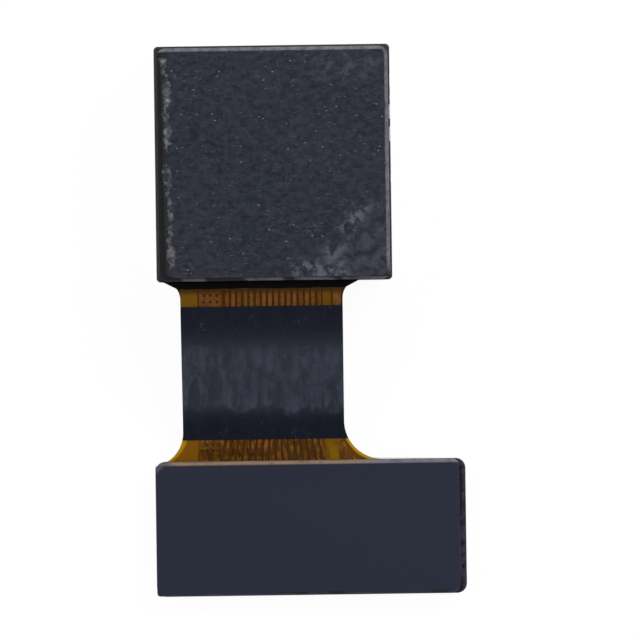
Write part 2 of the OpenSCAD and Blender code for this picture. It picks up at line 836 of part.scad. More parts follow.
module supply_outline() {
    polygon([
        [supply_right - supply_w, -board_half],
        [supply_right - supply_w, shield_bottom],
        [supply_right - supply_w + supply_fan / 2, trace_end],
        [supply_right + supply_fan, trace_end],
        [supply_right, shield_bottom],
        [supply_right, -board_half]
    ]);
}

module copper_traces() {
    color("#b8793a") ribbon_layer(0, copper_t) {
        union() {
            for (k = [0:trace_count - 1]) trace_outline(k);
            ground_outline();
            supply_outline();
            translate([pad_left + pad_plane_margin, pad_bottom + pad_plane_margin])
                square([pad_w - 2 * pad_plane_margin, pad_d - 2 * pad_plane_margin]);
        }
    }
}

module rear_coverlay() {
    color("#b07a1e", 0.8) ribbon_layer(copper_t, copper_t + coverlay_t) ribbon_outline();
}

module front_coverlay() {
    color("#a06f1c", 0.8) ribbon_layer(-core_t - coverlay_t, -core_t) difference() {
        ribbon_outline();
        translate([pad_x, pad_y])
            square([plug_l + 2 * (tab_l + window_margin), plug_w + 2 * window_margin], center = true);
    }
}

module shield_outline() {
    intersection() {
        ribbon_outline();
        translate([pad_left, shield_bottom]) square([pad_w, shield_top - shield_bottom]);
    }
}

module rear_shield_film() {
    color("#23252d") ribbon_layer(copper_t + coverlay_t, copper_t + coverlay_t + shield_t)
        shield_outline();
}

module front_shield_film() {
    color("#23252d") ribbon_layer(-core_t - coverlay_t - shield_t, -core_t - coverlay_t)
        shield_outline();
}

// A low bead of glue on the neck's root and on its two fillets, against the board's edge
module strain_bead() {
    color("#141416") slab(z_core_rear + copper_t + coverlay_t, z_plate_glue) intersection() {
        ribbon_outline();
        translate([pad_left, -board_half - strain_bead_w]) square([pad_w, strain_bead_w]);
    }
}

// ---- Rear plate

module plate_glue() {
    color("#4a4a4e") slab(z_plate_glue, z_plate)
        rounded_rect(plate_w - 2 * film_margin, plate_d - 2 * film_margin, film_corner_r);
}

module rear_plate() {
    color("#3c3e45") slab(z_plate, z_film) rounded_rect(plate_w, plate_d, plate_corner_r);
}

module rear_film() {
    color("#31343e") slab(z_film, z_film + film_t)
        rounded_rect(plate_w - 2 * film_margin, plate_d - 2 * film_margin, film_corner_r);
}

// ---- Connector

module stiffener_outline() {
    translate([pad_x - pad_bare / 2, pad_y]) rounded_rect(pad_w - pad_bare, pad_d, pad_corner_r);
}

module stiffener_glue() {
    color("#4a4a4e") slab(z_stiffener_glue, z_stiffener) stiffener_outline();
}

module connector_stiffener() {
    color("#2b2e3b") slab(z_stiffener, z_stiffener + stiffener_t) stiffener_outline();
}

// Places its children at every contact of both rows, with +Y pointing outwards
module at_contacts() {
    for (turn = [0, 180], k = [0:contacts_per_row - 1])
        translate([pad_x, pad_y, 0]) rotate(turn)
            translate([(k - (contacts_per_row - 1) / 2) * contact_pitch, 0, 0]) children();
}

module solder_lands() {
    tail_y = plug_wall_span / 2 + contact_t;
    color("#c99a4b") {
        at_contacts() translate([-contact_w / 2, tail_y, z_land])
            cube([contact_w, tail_l + land_margin, land_t]);
        for (turn = [0, 180]) translate([pad_x, pad_y, z_land]) rotate(turn)
            translate([plug_l / 2, -tab_w / 2, 0]) cube([tab_l + land_margin, tab_w, land_t]);
    }
}

// A floor with two long walls for the contacts and a full-height block at each end
module plug_housing() {
    color("#1c1c1e") translate([pad_x, pad_y, 0]) {
        slab(contact_wall_top, plug_h)
            square([plug_l, plug_wall_span], center = true);
        for (s = [-1, 1]) {
            slab(contact_t, contact_wall_top + plug_floor_t / 2)
                translate([0, s * (plug_wall_span - plug_wall_t) / 2])
                    square([plug_l - plug_end_l, plug_wall_t], center = true);
            slab(0, plug_h) translate([s * (plug_l - plug_end_l) / 2, 0])
                square([plug_end_l, plug_wall_span], center = true);
        }
    }
}

// A contact in the YZ plane: solder tail, outer leg, round the wall's edge and up inside
module plug_contacts() {
    outer = plug_wall_span / 2;
    inner = outer - plug_wall_t;
    color("#d3a95a") at_contacts() rotate([90, 0, 90])
        linear_extrude(contact_w, center = true) polygon([
            [outer, contact_t],
            [inner, contact_t],
            [inner, contact_wall_top],
            [inner - contact_t, contact_wall_top],
            [inner - contact_t, 0],
            [outer + contact_t, 0],
            [outer + contact_t, plug_h - contact_t],
            [outer + contact_t + tail_l, plug_h - contact_t],
            [outer + contact_t + tail_l, plug_h],
            [outer, plug_h]
        ]);
}

// L-shaped metal tabs that hold the plug's ends down
module plug_tabs() {
    color("#c9cbd0")
        for (turn = [0, 180]) translate([pad_x, pad_y, 0]) rotate(turn)
            rotate([90, 0, 0]) linear_extrude(tab_w, center = true) polygon([
                [plug_l / 2, plug_h / 4],
                [plug_l / 2 + contact_t, plug_h / 4],
                [plug_l / 2 + contact_t, plug_h - contact_t],
                [plug_l / 2 + tab_l, plug_h - contact_t],
                [plug_l / 2 + tab_l, plug_h],
                [plug_l / 2, plug_h]
            ]);
}

motor_can();
front_spacer();
front_spring();
magnets();
coil();
lens_carrier();
rear_spring();
motor_base();
motor_terminals();
terminal_solder();
lens_barrel();
lens_1();
lens_2();
lens_3();
lens_4();
lens_5();
lens_baffles();
retaining_ring();
motor_glue();
filter_holder();
ir_filter();
holder_glue();
image_sensor();
sensor_glue();
bond_wires();
capacitors();
driver_chip();
board_front_layer();
flex_core();
board_rear_layer();
copper_traces();
rear_coverlay();
front_coverlay();
rear_shield_film();
front_shield_film();
strain_bead();
plate_glue();
rear_plate();
rear_film();
stiffener_glue();
connector_stiffener();
solder_lands();
plug_housing();
plug_contacts();
plug_tabs();
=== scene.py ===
import json
import math

import bmesh
import bpy
import numpy as np
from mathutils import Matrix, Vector

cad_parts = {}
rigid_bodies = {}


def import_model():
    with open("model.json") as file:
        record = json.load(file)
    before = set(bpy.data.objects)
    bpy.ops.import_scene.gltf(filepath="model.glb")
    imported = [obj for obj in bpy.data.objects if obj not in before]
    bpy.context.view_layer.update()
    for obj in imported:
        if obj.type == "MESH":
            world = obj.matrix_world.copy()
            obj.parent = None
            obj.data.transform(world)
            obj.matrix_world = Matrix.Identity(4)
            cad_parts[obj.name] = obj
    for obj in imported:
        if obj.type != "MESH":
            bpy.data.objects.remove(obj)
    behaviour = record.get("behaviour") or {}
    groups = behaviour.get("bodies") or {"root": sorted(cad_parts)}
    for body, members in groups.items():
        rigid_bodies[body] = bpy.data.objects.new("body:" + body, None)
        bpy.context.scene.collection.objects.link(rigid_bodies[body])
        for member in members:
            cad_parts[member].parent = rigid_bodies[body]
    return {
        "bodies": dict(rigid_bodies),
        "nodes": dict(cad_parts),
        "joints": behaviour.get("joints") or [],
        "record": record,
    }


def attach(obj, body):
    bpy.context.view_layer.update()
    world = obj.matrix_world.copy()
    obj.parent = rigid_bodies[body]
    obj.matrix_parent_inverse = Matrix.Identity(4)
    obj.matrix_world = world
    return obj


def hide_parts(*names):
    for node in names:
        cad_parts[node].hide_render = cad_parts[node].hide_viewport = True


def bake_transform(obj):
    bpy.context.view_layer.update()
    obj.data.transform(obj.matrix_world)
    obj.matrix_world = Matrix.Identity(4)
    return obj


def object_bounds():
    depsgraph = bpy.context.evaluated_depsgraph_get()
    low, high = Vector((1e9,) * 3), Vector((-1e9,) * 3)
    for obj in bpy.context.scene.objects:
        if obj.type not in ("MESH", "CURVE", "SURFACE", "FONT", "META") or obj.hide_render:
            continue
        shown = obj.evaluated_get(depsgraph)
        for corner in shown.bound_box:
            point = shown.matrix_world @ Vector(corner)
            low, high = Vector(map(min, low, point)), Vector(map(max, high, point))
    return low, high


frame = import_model()
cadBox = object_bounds()
nodes = frame["nodes"]
scene = bpy.context.scene
scene.view_settings.view_transform = "Standard"
mm = 0.001

stageValues = dict(
    middle=(1.62, -5.68), turn=-0.8, distance=520.0, across=23.06, atHeight=4.6, sensor=36.0,
    clip=(0.01, 5.0), aim=(1.6, -5.7, 2.5),
    worldLevel=0.42, floorSize=900.0, floorAlbedo=0.97, glowShare=0.93, glowLevel=1.022,
    lamps=dict(  # x, y, z, width, height, and its level on a white surface that faces it
        key=(140.0, 130.0, 230.0, 140.0, 140.0, 0.46),
        fill=(-190.0, 40.0, 210.0, 150.0, 150.0, 0.22),
        horizon=(0.0, -320.0, 24.0, 400.0, 46.0, 0.42)))


# a camera far above the object: its focal length is the sensor's width times its distance from the
# given height, over the width that the picture shows there
def makeCamera(v):
    data = bpy.data.cameras.new("camera")
    data.sensor_width = v["sensor"]
    data.lens = v["sensor"] * (v["distance"] - v["atHeight"]) / v["across"]
    data.clip_start, data.clip_end = v["clip"]
    camera = bpy.data.objects.new("camera", data)
    scene.collection.objects.link(camera)
    camera.location = (v["middle"][0] * mm, v["middle"][1] * mm, v["distance"] * mm)
    camera.rotation_euler = (0, 0, math.radians(v["turn"]))
    scene.camera = camera


# a soft lamp aimed at the object; its power is its level times the square of pi times its distance
def makeLamp(name, x, y, z, width, height, level, aim=stageValues["aim"]):
    data = bpy.data.lights.new(name, "AREA")
    data.shape, data.size, data.size_y = "RECTANGLE", width * mm, height * mm
    place = (np.array([x, y, z]) - aim) * mm
    data.energy = level * math.pi ** 2 * np.dot(place, place)
    lamp = bpy.data.objects.new(name, data)
    scene.collection.objects.link(lamp)
    lamp.location = (x * mm, y * mm, z * mm)
    lamp.rotation_mode = "QUATERNION"
    lamp.rotation_quaternion = Vector(place).to_track_quat("Z", "Y")


# wraps a socket, so that an expression on values adds its Math nodes
class Value:
    def __init__(self, tree, socket):
        self.calc, self.socket = tree.calc, socket

    def __add__(self, other): return self.calc("ADD", self, other)
    def __radd__(self, other): return self.calc("ADD", other, self)
    def __sub__(self, other): return self.calc("SUBTRACT", self, other)
    def __rsub__(self, other): return self.calc("SUBTRACT", other, self)
    def __mul__(self, other): return self.calc("MULTIPLY", self, other)
    def __rmul__(self, other): return self.calc("MULTIPLY", other, self)
    def __truediv__(self, other): return self.calc("DIVIDE", self, other)
    def __abs__(self): return self.calc("ABSOLUTE", self)


# a tree of shader nodes
class Tree:
    def __init__(self, tree):
        self.tree = tree

    # adds a node: its type, its settings first, then the values or links of its sockets
    def node(self, kind, settings=None, inputs=(), output=0):
        made = self.tree.nodes.new("ShaderNode" + kind)
        for name, setting in (settings or {}).items():
            setattr(made, name, setting)
        for key, value in (inputs.items() if isinstance(inputs, dict) else enumerate(inputs)):
            self.feed(made.inputs[key], value)
        return Value(self, made.outputs[output])

    def feed(self, socket, value):
        if isinstance(value, Value):
            self.tree.links.new(value.socket, socket)
        elif isinstance(value, (tuple, list)) and len(socket.default_value) == 4:
            socket.default_value = rgba(value)
        else:
            socket.default_value = value

    def calc(self, operation, *values):
        return self.node("Math", dict(operation=operation), values)

    # the largest of the values
    def most(self, first, *others):
        for other in others:
            first = self.calc("MAXIMUM", first, other)
        return first

    # 1 for rays that see the background itself: from the camera, in metal or through glass
    def seenRays(self):
        return self.most(*(self.node("LightPath", output=kind + " Ray")
                           for kind in ("Is Camera", "Is Glossy", "Is Transmission")))


# one material: its Principled shader, and at, the object's own coordinates in millimetres
class Finish(Tree):
    def __init__(self, name, **fixed):
        self.material = bpy.data.materials.new(name)
        self.material.use_nodes = True
        super().__init__(self.material.node_tree)
        self.shader = self.tree.nodes["Principled BSDF"]
        where = self.node("TexCoord", output="Object")
        self.at = self.node("VectorMath", dict(operation="SCALE"), {0: where, "Scale": 1 / mm})
        self.paint(**fixed)

    # sets the shader's own sockets; baseColor is the socket Base Color, and so on
    def paint(self, **values):
        for name, value in values.items():
            words = "".join(" " + c if c.isupper() else c for c in name)
            socket = words[0].upper() + words[1:]
            socket = {"Ior": "IOR", "Specular": "Specular IOR Level"}.get(socket, socket)
            self.feed(self.shader.inputs[socket], value)

    # the object's own coordinates along the named axes
    def axes(self, names):
        return [self.node("SeparateXYZ", None, [self.at], name) for name in names]

    # the coordinates scaled, then turned about z in degrees, then shifted
    def moved(self, scale=(1, 1, 1), turn=0.0, shift=(0, 0, 0)):
        return self.node("Mapping", None, dict(Vector=self.at, Scale=scale, Location=shift,
                                               Rotation=(0, 0, math.radians(turn))))

    def noise(self, scale, detail=2.0, rough=0.5, at=None, warp=0.0):
        return self.node("TexNoise", None, dict(Vector=at or self.at, Scale=scale, Detail=detail,
                                                Roughness=rough, Distortion=warp))

    def cells(self, scale, at=None, randomness=1.0):
        return self.node("TexVoronoi", None, dict(Vector=at or self.at, Scale=scale, Randomness=randomness),
                         "Distance")

    # 0 below low and 1 above high, with a soft change between; low may be the larger
    def step(self, value, low, high):
        return self.node("MapRange", dict(interpolation_type="SMOOTHSTEP"), [value, low, high, 0.0, 1.0])

    # 1 between low and high, with a change of twice soft at both
    def band(self, value, low, high, soft):
        return self.step(value, low - soft, low + soft) * self.step(value, high + soft, high - soft)

    # 1 in the patches where a noise is past high
    def patches(self, scale, detail, low, high, **more):
        return self.step(self.noise(scale, detail, **more), low, high)

    # 1 within near of the middles of scattered cells, and 0 beyond far
    def spots(self, density, far, near, **place):
        return self.step(self.cells(density, at=self.moved(**place)), far, near)

    def mix(self, first, second, share):
        return self.node("Mix", dict(data_type="RGBA"), {0: share, 6: first, 7: second}, 2)

    # colours laid one over another, each by its share
    def layers(self, base, *coats):
        for colour, share in coats:
            base = self.mix(base, colour, share)
        return base

    # distance is the height in millimetres that the value 1 stands for
    def bump(self, height, distance):
        return self.node("Bump", None, dict(Height=height, Distance=distance * mm, Strength=1.0))


# a colour with its fourth value
def rgba(colour):
    return (*colour, 1.0) if len(colour) == 3 else tuple(colour)


# a colour given as 0 to 255 on a screen, as the shader's linear values
def tone(red, green, blue):
    return tuple(c / 3294.6 if c <= 10.3 else ((c / 255 + 0.055) / 1.055) ** 2.4
                 for c in (red, green, blue))


# outline of a rounded rectangle, counter-clockwise from its right upper corner: a quarter circle at
# each corner, then points spaced evenly along the straight side to the next one; smaller gives
# factors for corners that are sharper than the rest
def roundedOutline(halfX, halfY, radius, middle=(0.0, 0.0), side=40, smaller=(1, 1, 1, 1), arc=8):
    radii = np.maximum(radius * np.array(smaller, float), 1e-4)
    corners = []
    for q, (sx, sy) in enumerate(((1, 1), (-1, 1), (-1, -1), (1, -1))):
        centre = np.array([sx * (halfX - radii[q]), sy * (halfY - radii[q])])
        a = np.linspace(q * np.pi / 2, (q + 1) * np.pi / 2, arc + 1)
        corners.append(centre + radii[q] * np.stack([np.cos(a), np.sin(a)], 1))
    t = np.linspace(0, 1, side + 2)[1:-1, None]
    sides = [corners[q][-1] * (1 - t) + corners[(q + 1) % 4][0] * t for q in range(4)]
    return np.concatenate([line for pair in zip(corners, sides) for line in pair]) + np.array(middle)


# a unit circle with a square outline's points, moved out from the middle, so that the two join up
def unitCircle(side):
    square = roundedOutline(1, 1, 0.1, side=side)
    return square / np.linalg.norm(square, axis=1, keepdims=True)


# unit normals of a closed counter-clockwise outline: the turned difference of its neighbours
def outward(outline):
    along = np.roll(outline, -1, 0) - np.roll(outline, 1, 0)
    normal = np.stack([along[:, 1], -along[:, 0]], 1)
    return normal / np.maximum(np.linalg.norm(normal, axis=1, keepdims=True), 1e-9)


# a smooth uneven line: sines of random pitch, phase and weight along x and y, amount high at most
def ripple(points, amount, waves, seed):
    draw = np.random.default_rng(seed)
    total = np.zeros(len(points))
    for _ in range(waves):
        direction = draw.normal(size=2) * draw.uniform(1.5, 9.0)
        total += draw.uniform(0.3, 1.0) * np.sin(points @ direction + draw.uniform(0, 6.28))
    return amount * total / np.abs(total).max()


# puts points in millimetres and faces into a mesh object, and gives it its finish and its body
def makePiece(name, points, faces, finish, body="module", sharp=35.0, stands=(), slot=None):
    mesh = bpy.data.meshes.new(name)
    mesh.from_pydata((np.asarray(points, float) * mm).tolist(), [], [list(f) for f in faces])
    mesh.validate()
    facesOut(mesh)
    mesh.shade_smooth()
    mesh.set_sharp_from_angle(angle=math.radians(sharp))
    piece = bpy.data.objects.new(name, mesh)
    scene.collection.objects.link(piece)
    mesh.materials.append(finish.material)
    if body:
        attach(piece, body)
    if stands:
        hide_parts(*stands)
    return piece


# quads of a grid of points, row by row; a closed direction joins its last line to its first
def gridFaces(rows, columns, closeRows=False, closeColumns=False, first=0):
    i = np.arange(rows if closeRows else rows - 1)[:, None]
    j = np.arange(columns if closeColumns else columns - 1)[None, :]
    i2, j2 = (i + 1) % rows, (j + 1) % columns
    quads = np.stack([i * columns + j, i * columns + j2, i2 * columns + j2, i2 * columns + j], -1)
    return (quads.reshape(-1, 4) + first).tolist()


# joins rings of as many points each, from the lowest up; the ends are capped, or joined if closed
def stack(name, rings, finish, closed=False, **more):
    rings = [np.asarray(r, float) for r in rings]
    count = len(rings[0])
    faces = gridFaces(len(rings), count, closeRows=closed, closeColumns=True)
    if not closed:
        faces += [list(range(count))[::-1], [(len(rings) - 1) * count + k for k in range(count)]]
    return makePiece(name, np.concatenate(rings), faces, finish, **more)


# a flat outline's points, all at the height z
def atHeight(outline, z):
    return np.column_stack([outline, np.full(len(outline), float(z))])


# rounds the corners of a line of points: at each a quadratic curve between the two places that lie
# the given distance before and after it
def softened(points, size, steps=4, closed=True):
    points = np.asarray(points, float)
    sizes = np.broadcast_to(size, (len(points),))
    t = np.linspace(0, 1, steps + 1)[:, None]
    line = []
    for k, corner in enumerate(points):
        if sizes[k] <= 0 or (not closed and k in (0, len(points) - 1)):
            line.append(corner[None, :])
            continue
        sides = (points[k - 1] - corner, points[(k + 1) % len(points)] - corner)
        start, end = (corner + side * min(sizes[k] / np.linalg.norm(side), 0.49) for side in sides)
        line.append((1 - t) ** 2 * start + 2 * t * (1 - t) * corner + t ** 2 * end)
    return np.concatenate(line)


# a turned piece: each point (radius, height) of its profile becomes a ring about the optical axis;
# slots takes the ring's angles and height and returns how far each point is cut back
def turned(name, profile, finish, around=128, closed=True, slots=None, **more):
    a = np.linspace(0, 2 * np.pi, around, endpoint=False)
    rings = []
    for radius, z in profile:
        r = radius - (slots(a, radius, z) if slots else 0 * a)
        rings.append(np.column_stack([r * np.cos(a), r * np.sin(a), np.full(around, z)]))
    return stack(name, rings, finish, closed=closed, **more)


# a flat strip between two lines with as many points each
def strip(name, first, second, low, high, finish, closed=False, **more):
    loops = [atHeight(first, low), atHeight(second, low), atHeight(second, high), atHeight(first, high)]
    return stack(name, list(np.stack(loops, 1)), finish, closed=closed, **more)


# copies of one bent strip in one mesh: its path runs outwards and upwards, and each copy has a
# place (x, y) and the direction in which it runs out
def bentStrips(name, path, thick, wide, places, finish, **more):
    path = np.asarray(path, float)
    along = np.gradient(path, axis=0)
    along /= np.linalg.norm(along, axis=1, keepdims=True)
    normal = np.stack([-along[:, 1], along[:, 0]], 1)
    loops = []
    for side, across in ((1, -1), (1, 1), (-1, 1), (-1, -1)):
        place = path + normal * side * thick / 2
        loops.append(np.column_stack([place[:, 0], np.full(len(path), across * wide / 2), place[:, 1]]))
    grid = np.stack(loops, 1)
    count = grid.shape[0]
    points, faces = [], []
    for (x, y), (ox, oy) in places:
        first = len(points) * count * 4
        out, across, z = grid[..., 0], grid[..., 1], grid[..., 2]
        copy = np.stack([x + out * ox - across * oy, y + out * oy + across * ox, z], -1)
        points.append(copy.reshape(-1, 3))
        faces += gridFaces(count, 4, closeColumns=True, first=first)
        faces += [[first + k for k in range(4)][::-1], [first + (count - 1) * 4 + k for k in range(4)]]
    return makePiece(name, np.concatenate(points), faces, finish, **more)


# rings of a rounded slab whose lower and upper edges are quarter rounds of the given sizes
def bevelled(halfX, halfY, radius, low, high, bevelLow, bevelHigh, middle=(0, 0), wobble=None, steps=4,
             **outline):
    rings = []
    for bevel, level, up in ((bevelLow, low, 1), (bevelHigh, high, -1)):
        angles = np.linspace(0, np.pi / 2, steps + 1) if bevel > 0 else np.array([0.0])
        part = []
        for a in angles:
            inset, lift = bevel * (1 - np.sin(a)), bevel * (1 - np.cos(a))
            line = roundedOutline(halfX - inset, halfY - inset, radius - inset, middle, **outline)
            if wobble is not None:
                line = line + outward(line) * wobble(line)[:, None]
            part.append(atHeight(line, level + up * lift))
        rings += part if up > 0 else part[::-1]
    return rings


# a piece made of strips must have its normals out, whatever the order of its rows
def facesOut(mesh):
    work = bmesh.new()
    work.from_mesh(mesh)
    bmesh.ops.recalc_face_normals(work, faces=work.faces)
    work.to_mesh(mesh)
    work.free()


# the body's heights and the ribbon's route, in millimetres
body = dict(half=4.25, canInside=4.05, frameInside=3.78, opening=2.95, canSheet=0.2, canRim=3.0,
            holder=3.24, holderRear=4.37, board=4.4, core=4.54, coreRear=4.6, boardRear=4.74,
            plate=4.77, film=4.97, filmTop=5.012)
ribbon = dict(left=-3.405, right=2.445, boardEdge=-4.2, padTop=-10.75, padBottom=-15.65, padLeft=-4.43,
              padRight=6.82, corner=0.36, fillet=0.7, flareLeft=1.25, sink=0.19, flareRight=1.4,
              bendTop=-4.55, bendBottom=-10.3, bend=2.4, high=4.6, low=0.88,
              slopeFrom=-6.6, slopeTo=-8.3, creaseAt=-7.5, shieldFrom=-5.15, shieldTo=-9.98,
              copper=0.018, coverlay=0.027, shield=0.02, core=0.06)


# the height of the ribbon's line over the place y: level, an arc of radius bend + lift, the straight
# slope on both arcs' tangent, an arc of radius bend - lift, and level again
def ribbonHeight(y, lift, r=ribbon):
    run, drop = r["bendTop"] - r["bendBottom"], r["high"] - r["low"]
    slope = math.sqrt(run ** 2 + drop ** 2 - 4 * r["bend"] * drop)
    angle = 2 * math.atan(drop / (run + slope))
    y, lift = np.broadcast_arrays(np.asarray(y, float), np.asarray(lift, float))
    upper, lower = r["bend"] + lift, r["bend"] - lift
    endY, endZ = r["bendTop"] - upper * np.sin(angle), r["high"] - r["bend"] + upper * np.cos(angle)
    startY = r["bendBottom"] + lower * np.sin(angle)
    arcHigh = r["high"] - r["bend"] + np.sqrt(np.maximum(upper ** 2 - (y - r["bendTop"]) ** 2, 0))
    arcLow = r["low"] + r["bend"] - np.sqrt(np.maximum(lower ** 2 - (y - r["bendBottom"]) ** 2, 0))
    line = endZ + (y - endY) * math.tan(angle)
    return np.select([y >= r["bendTop"], y >= endY, y >= startY, y >= r["bendBottom"]],
                     [r["high"] + lift, arcHigh, line, arcLow], r["low"] + lift)


# the ribbon's left and right edges at y: upright, with a quarter circle at each end
def ribbonEdges(y, r=ribbon):
    def fillet(radius, centre):
        return radius - np.sqrt(np.maximum(radius ** 2 - np.clip(np.abs(y - centre), 0, radius) ** 2, 0))
    top = np.where(y > r["boardEdge"] - r["fillet"], fillet(r["fillet"], r["boardEdge"] - r["fillet"]), 0)
    leftCentre, rightCentre = r["padTop"] - r["sink"] + r["flareLeft"], r["padTop"] + r["flareRight"]
    left = r["left"] - top - np.where(y < leftCentre, fillet(r["flareLeft"], leftCentre), 0)
    right = r["right"] + top + np.where(y < rightCentre, fillet(r["flareRight"], rightCentre), 0)
    onPad = y < r["padTop"] - 1e-6
    inside = np.clip(r["corner"] - np.minimum(r["padTop"] - y, y - r["padBottom"]), 0, r["corner"])
    corner = r["corner"] - np.sqrt(r["corner"] ** 2 - inside ** 2)
    left = np.maximum(np.where(onPad, np.minimum(left, r["padLeft"] + corner), left), r["padLeft"])
    left = np.where(y < r["padTop"] - r["sink"], r["padLeft"] + corner, left)
    right = np.where(onPad, r["padRight"] - corner, right)
    return left, right


# a layer of the ribbon between two lifts, swept along y: at each station a closed loop, across the
# top from right to left and back along the underside; relief adds to the top's lift and under to the
# underside's; window is the first and last column and row of a rectangular hole
def ribbonLayer(name, stations, across, low, high, finish, relief=None, under=None, window=None, **more):
    y = np.asarray(stations, float)[:, None]
    left, right = ribbonEdges(y)
    t = np.asarray(across, float)[None, :]
    x = right + (left - right) * t
    place = y + 0 * x
    upper = np.stack([x, place, ribbonHeight(y, high + (relief(x, place) if relief else 0 * x))], -1)
    lower = np.stack([x, place, ribbonHeight(y, low + (under(x, place) if under else 0 * x))], -1)[:, ::-1]
    loops = np.concatenate([upper, lower], 1)
    rows, columns = loops.shape[:2]
    faces = np.array(gridFaces(rows, columns, closeColumns=True))
    if window:
        c0, c1, r0, r1 = window
        row, column = faces[:, 0] // columns, faces[:, 0] % columns
        mirrored = np.where(column < columns // 2, column, columns - 2 - column)
        onFace = column != columns // 2 - 1
        faces = faces[~((row >= r0) & (row < r1) & (mirrored >= c0) & (mirrored < c1) & onFace)]
        rim = [(r, c0) for r in range(r0, r1)] + [(r1, c) for c in range(c0, c1)]
        rim += [(r, c1) for r in range(r1, r0, -1)] + [(r0, c) for c in range(c1, c0, -1)]
        upperRim = [r * columns + c for r, c in rim]
        lowerRim = [r * columns + columns - 1 - c for r, c in rim]
        walls = [(upperRim[k - 1], upperRim[k], lowerRim[k], lowerRim[k - 1]) for k in range(len(rim))]
        faces = np.concatenate([faces, walls])
    first = list(range(columns))
    last = [(rows - 1) * columns + k for k in first][::-1]
    return makePiece(name, loops.reshape(-1, 3), faces.tolist() + [first, last], finish, **more)


# stations along the ribbon: each stretch from a to b is cut into n equal steps
def spaced(*stretches):
    parts = [np.linspace(a, b, n, endpoint=False) for a, b, n in stretches]
    return np.concatenate(parts + [[stretches[-1][1]]])


# a white world, at its full level where it is seen and at a lower one where it lights the object
def makeWorld(v):
    world = bpy.data.worlds.new("world")
    scene.world = world
    world.use_nodes = True
    sky = Tree(world.node_tree)
    background = sky.tree.nodes["Background"]
    sky.feed(background.inputs["Color"], (1, 1, 1))
    sky.feed(background.inputs["Strength"],
             sky.node("MapRange", None, [sky.seenRays(), 0.0, 1.0, v["worldLevel"], 1.0]))


# a white floor at the object's lowest point: seen, it mostly glows, so that it stays white and its
# shadow is faint
def makeFloor(v):
    cover = Finish("floorPaint", baseColor=(v["floorAlbedo"],) * 3, roughness=0.9, specular=0.0)
    glow = cover.node("Emission", None, dict(Strength=v["glowLevel"]))
    paint = Value(cover, cover.shader.outputs[0])
    blend = cover.node("MixShader", None, [cover.seenRays() * v["glowShare"], paint, glow])
    cover.feed(cover.tree.nodes["Material Output"].inputs[0], blend)
    size = v["floorSize"]
    corners = [(sx * size, sy * size, cadBox[0].z / mm) for sx, sy in ((-1, -1), (1, -1), (1, 1), (-1, 1))]
    floor = makePiece("floor", corners, [(0, 1, 2, 3)], cover, body=None)


makeCamera(stageValues)
for name, values in stageValues["lamps"].items():
    makeLamp(name, *values)
makeWorld(stageValues)
makeFloor(stageValues)
print("camera, light and floor made")


# what each plain finish is: colour, roughness, metal, and how much its noise does
plain = dict(
    blackMoulding=dict(colour=(34, 34, 36), rough=0.55, grain=14.0, spread=0.25, relief=0.004),
    holderMoulding=dict(colour=(22, 21, 25), rough=0.5, grain=11.0, spread=0.3, relief=0.006, gloss=0.3),
    plugMoulding=dict(colour=(30, 29, 29), rough=0.42, grain=18.0, spread=0.22, relief=0.003),
    lensBlack=dict(colour=(20, 20, 22), rough=0.38, grain=22.0, spread=0.2, relief=0.002),
    darkGlue=dict(colour=(44, 44, 47), rough=0.3, grain=6.0, spread=0.3, relief=0.01),
    bead=dict(colour=(8, 8, 9), rough=0.8, grain=7.0, spread=0.4, relief=0.004, gloss=0.02),
    boardMask=dict(colour=(15, 15, 17), rough=0.45, grain=16.0, spread=0.35, relief=0.004, gloss=0.25),
    magnetNickel=dict(colour=(168, 164, 156), rough=0.28, metal=1.0, grain=20.0, spread=0.12, relief=0.001),
    springCopper=dict(colour=(198, 146, 92), rough=0.3, metal=1.0, grain=25.0, spread=0.15, relief=0.001),
    coilCopper=dict(colour=(164, 84, 40), rough=0.32, metal=0.75, grain=15.0, spread=0.25, relief=0.001),
    goldPlate=dict(colour=(222, 178, 96), rough=0.24, metal=1.0, grain=22.0, spread=0.15, relief=0.001),
    solderTin=dict(colour=(186, 188, 190), rough=0.3, metal=1.0, grain=12.0, spread=0.2, relief=0.004),
    tabSteel=dict(colour=(190, 190, 188), rough=0.3, metal=1.0, grain=16.0, spread=0.15, relief=0.001))


# colour and roughness vary with a two-scale noise, which is also the relief
def plainFinish(name, colour, rough, grain, spread, relief, metal=0.0, gloss=0.5):
    f = Finish(name, metallic=metal, specular=gloss)
    cloud = f.noise(grain * 0.15, 3, 0.6)
    fine = f.noise(grain, 3, 0.6)
    dark, light = (tuple(min(1.0, c * (1 + change)) for c in tone(*colour)) for change in (-spread, spread))
    f.paint(baseColor=f.mix(dark, light, f.step(cloud * 0.5 + fine * 0.5, 0.32, 0.68)),
            roughness=rough * (0.85 + fine * 0.3), normal=f.bump(fine, relief))
    return f


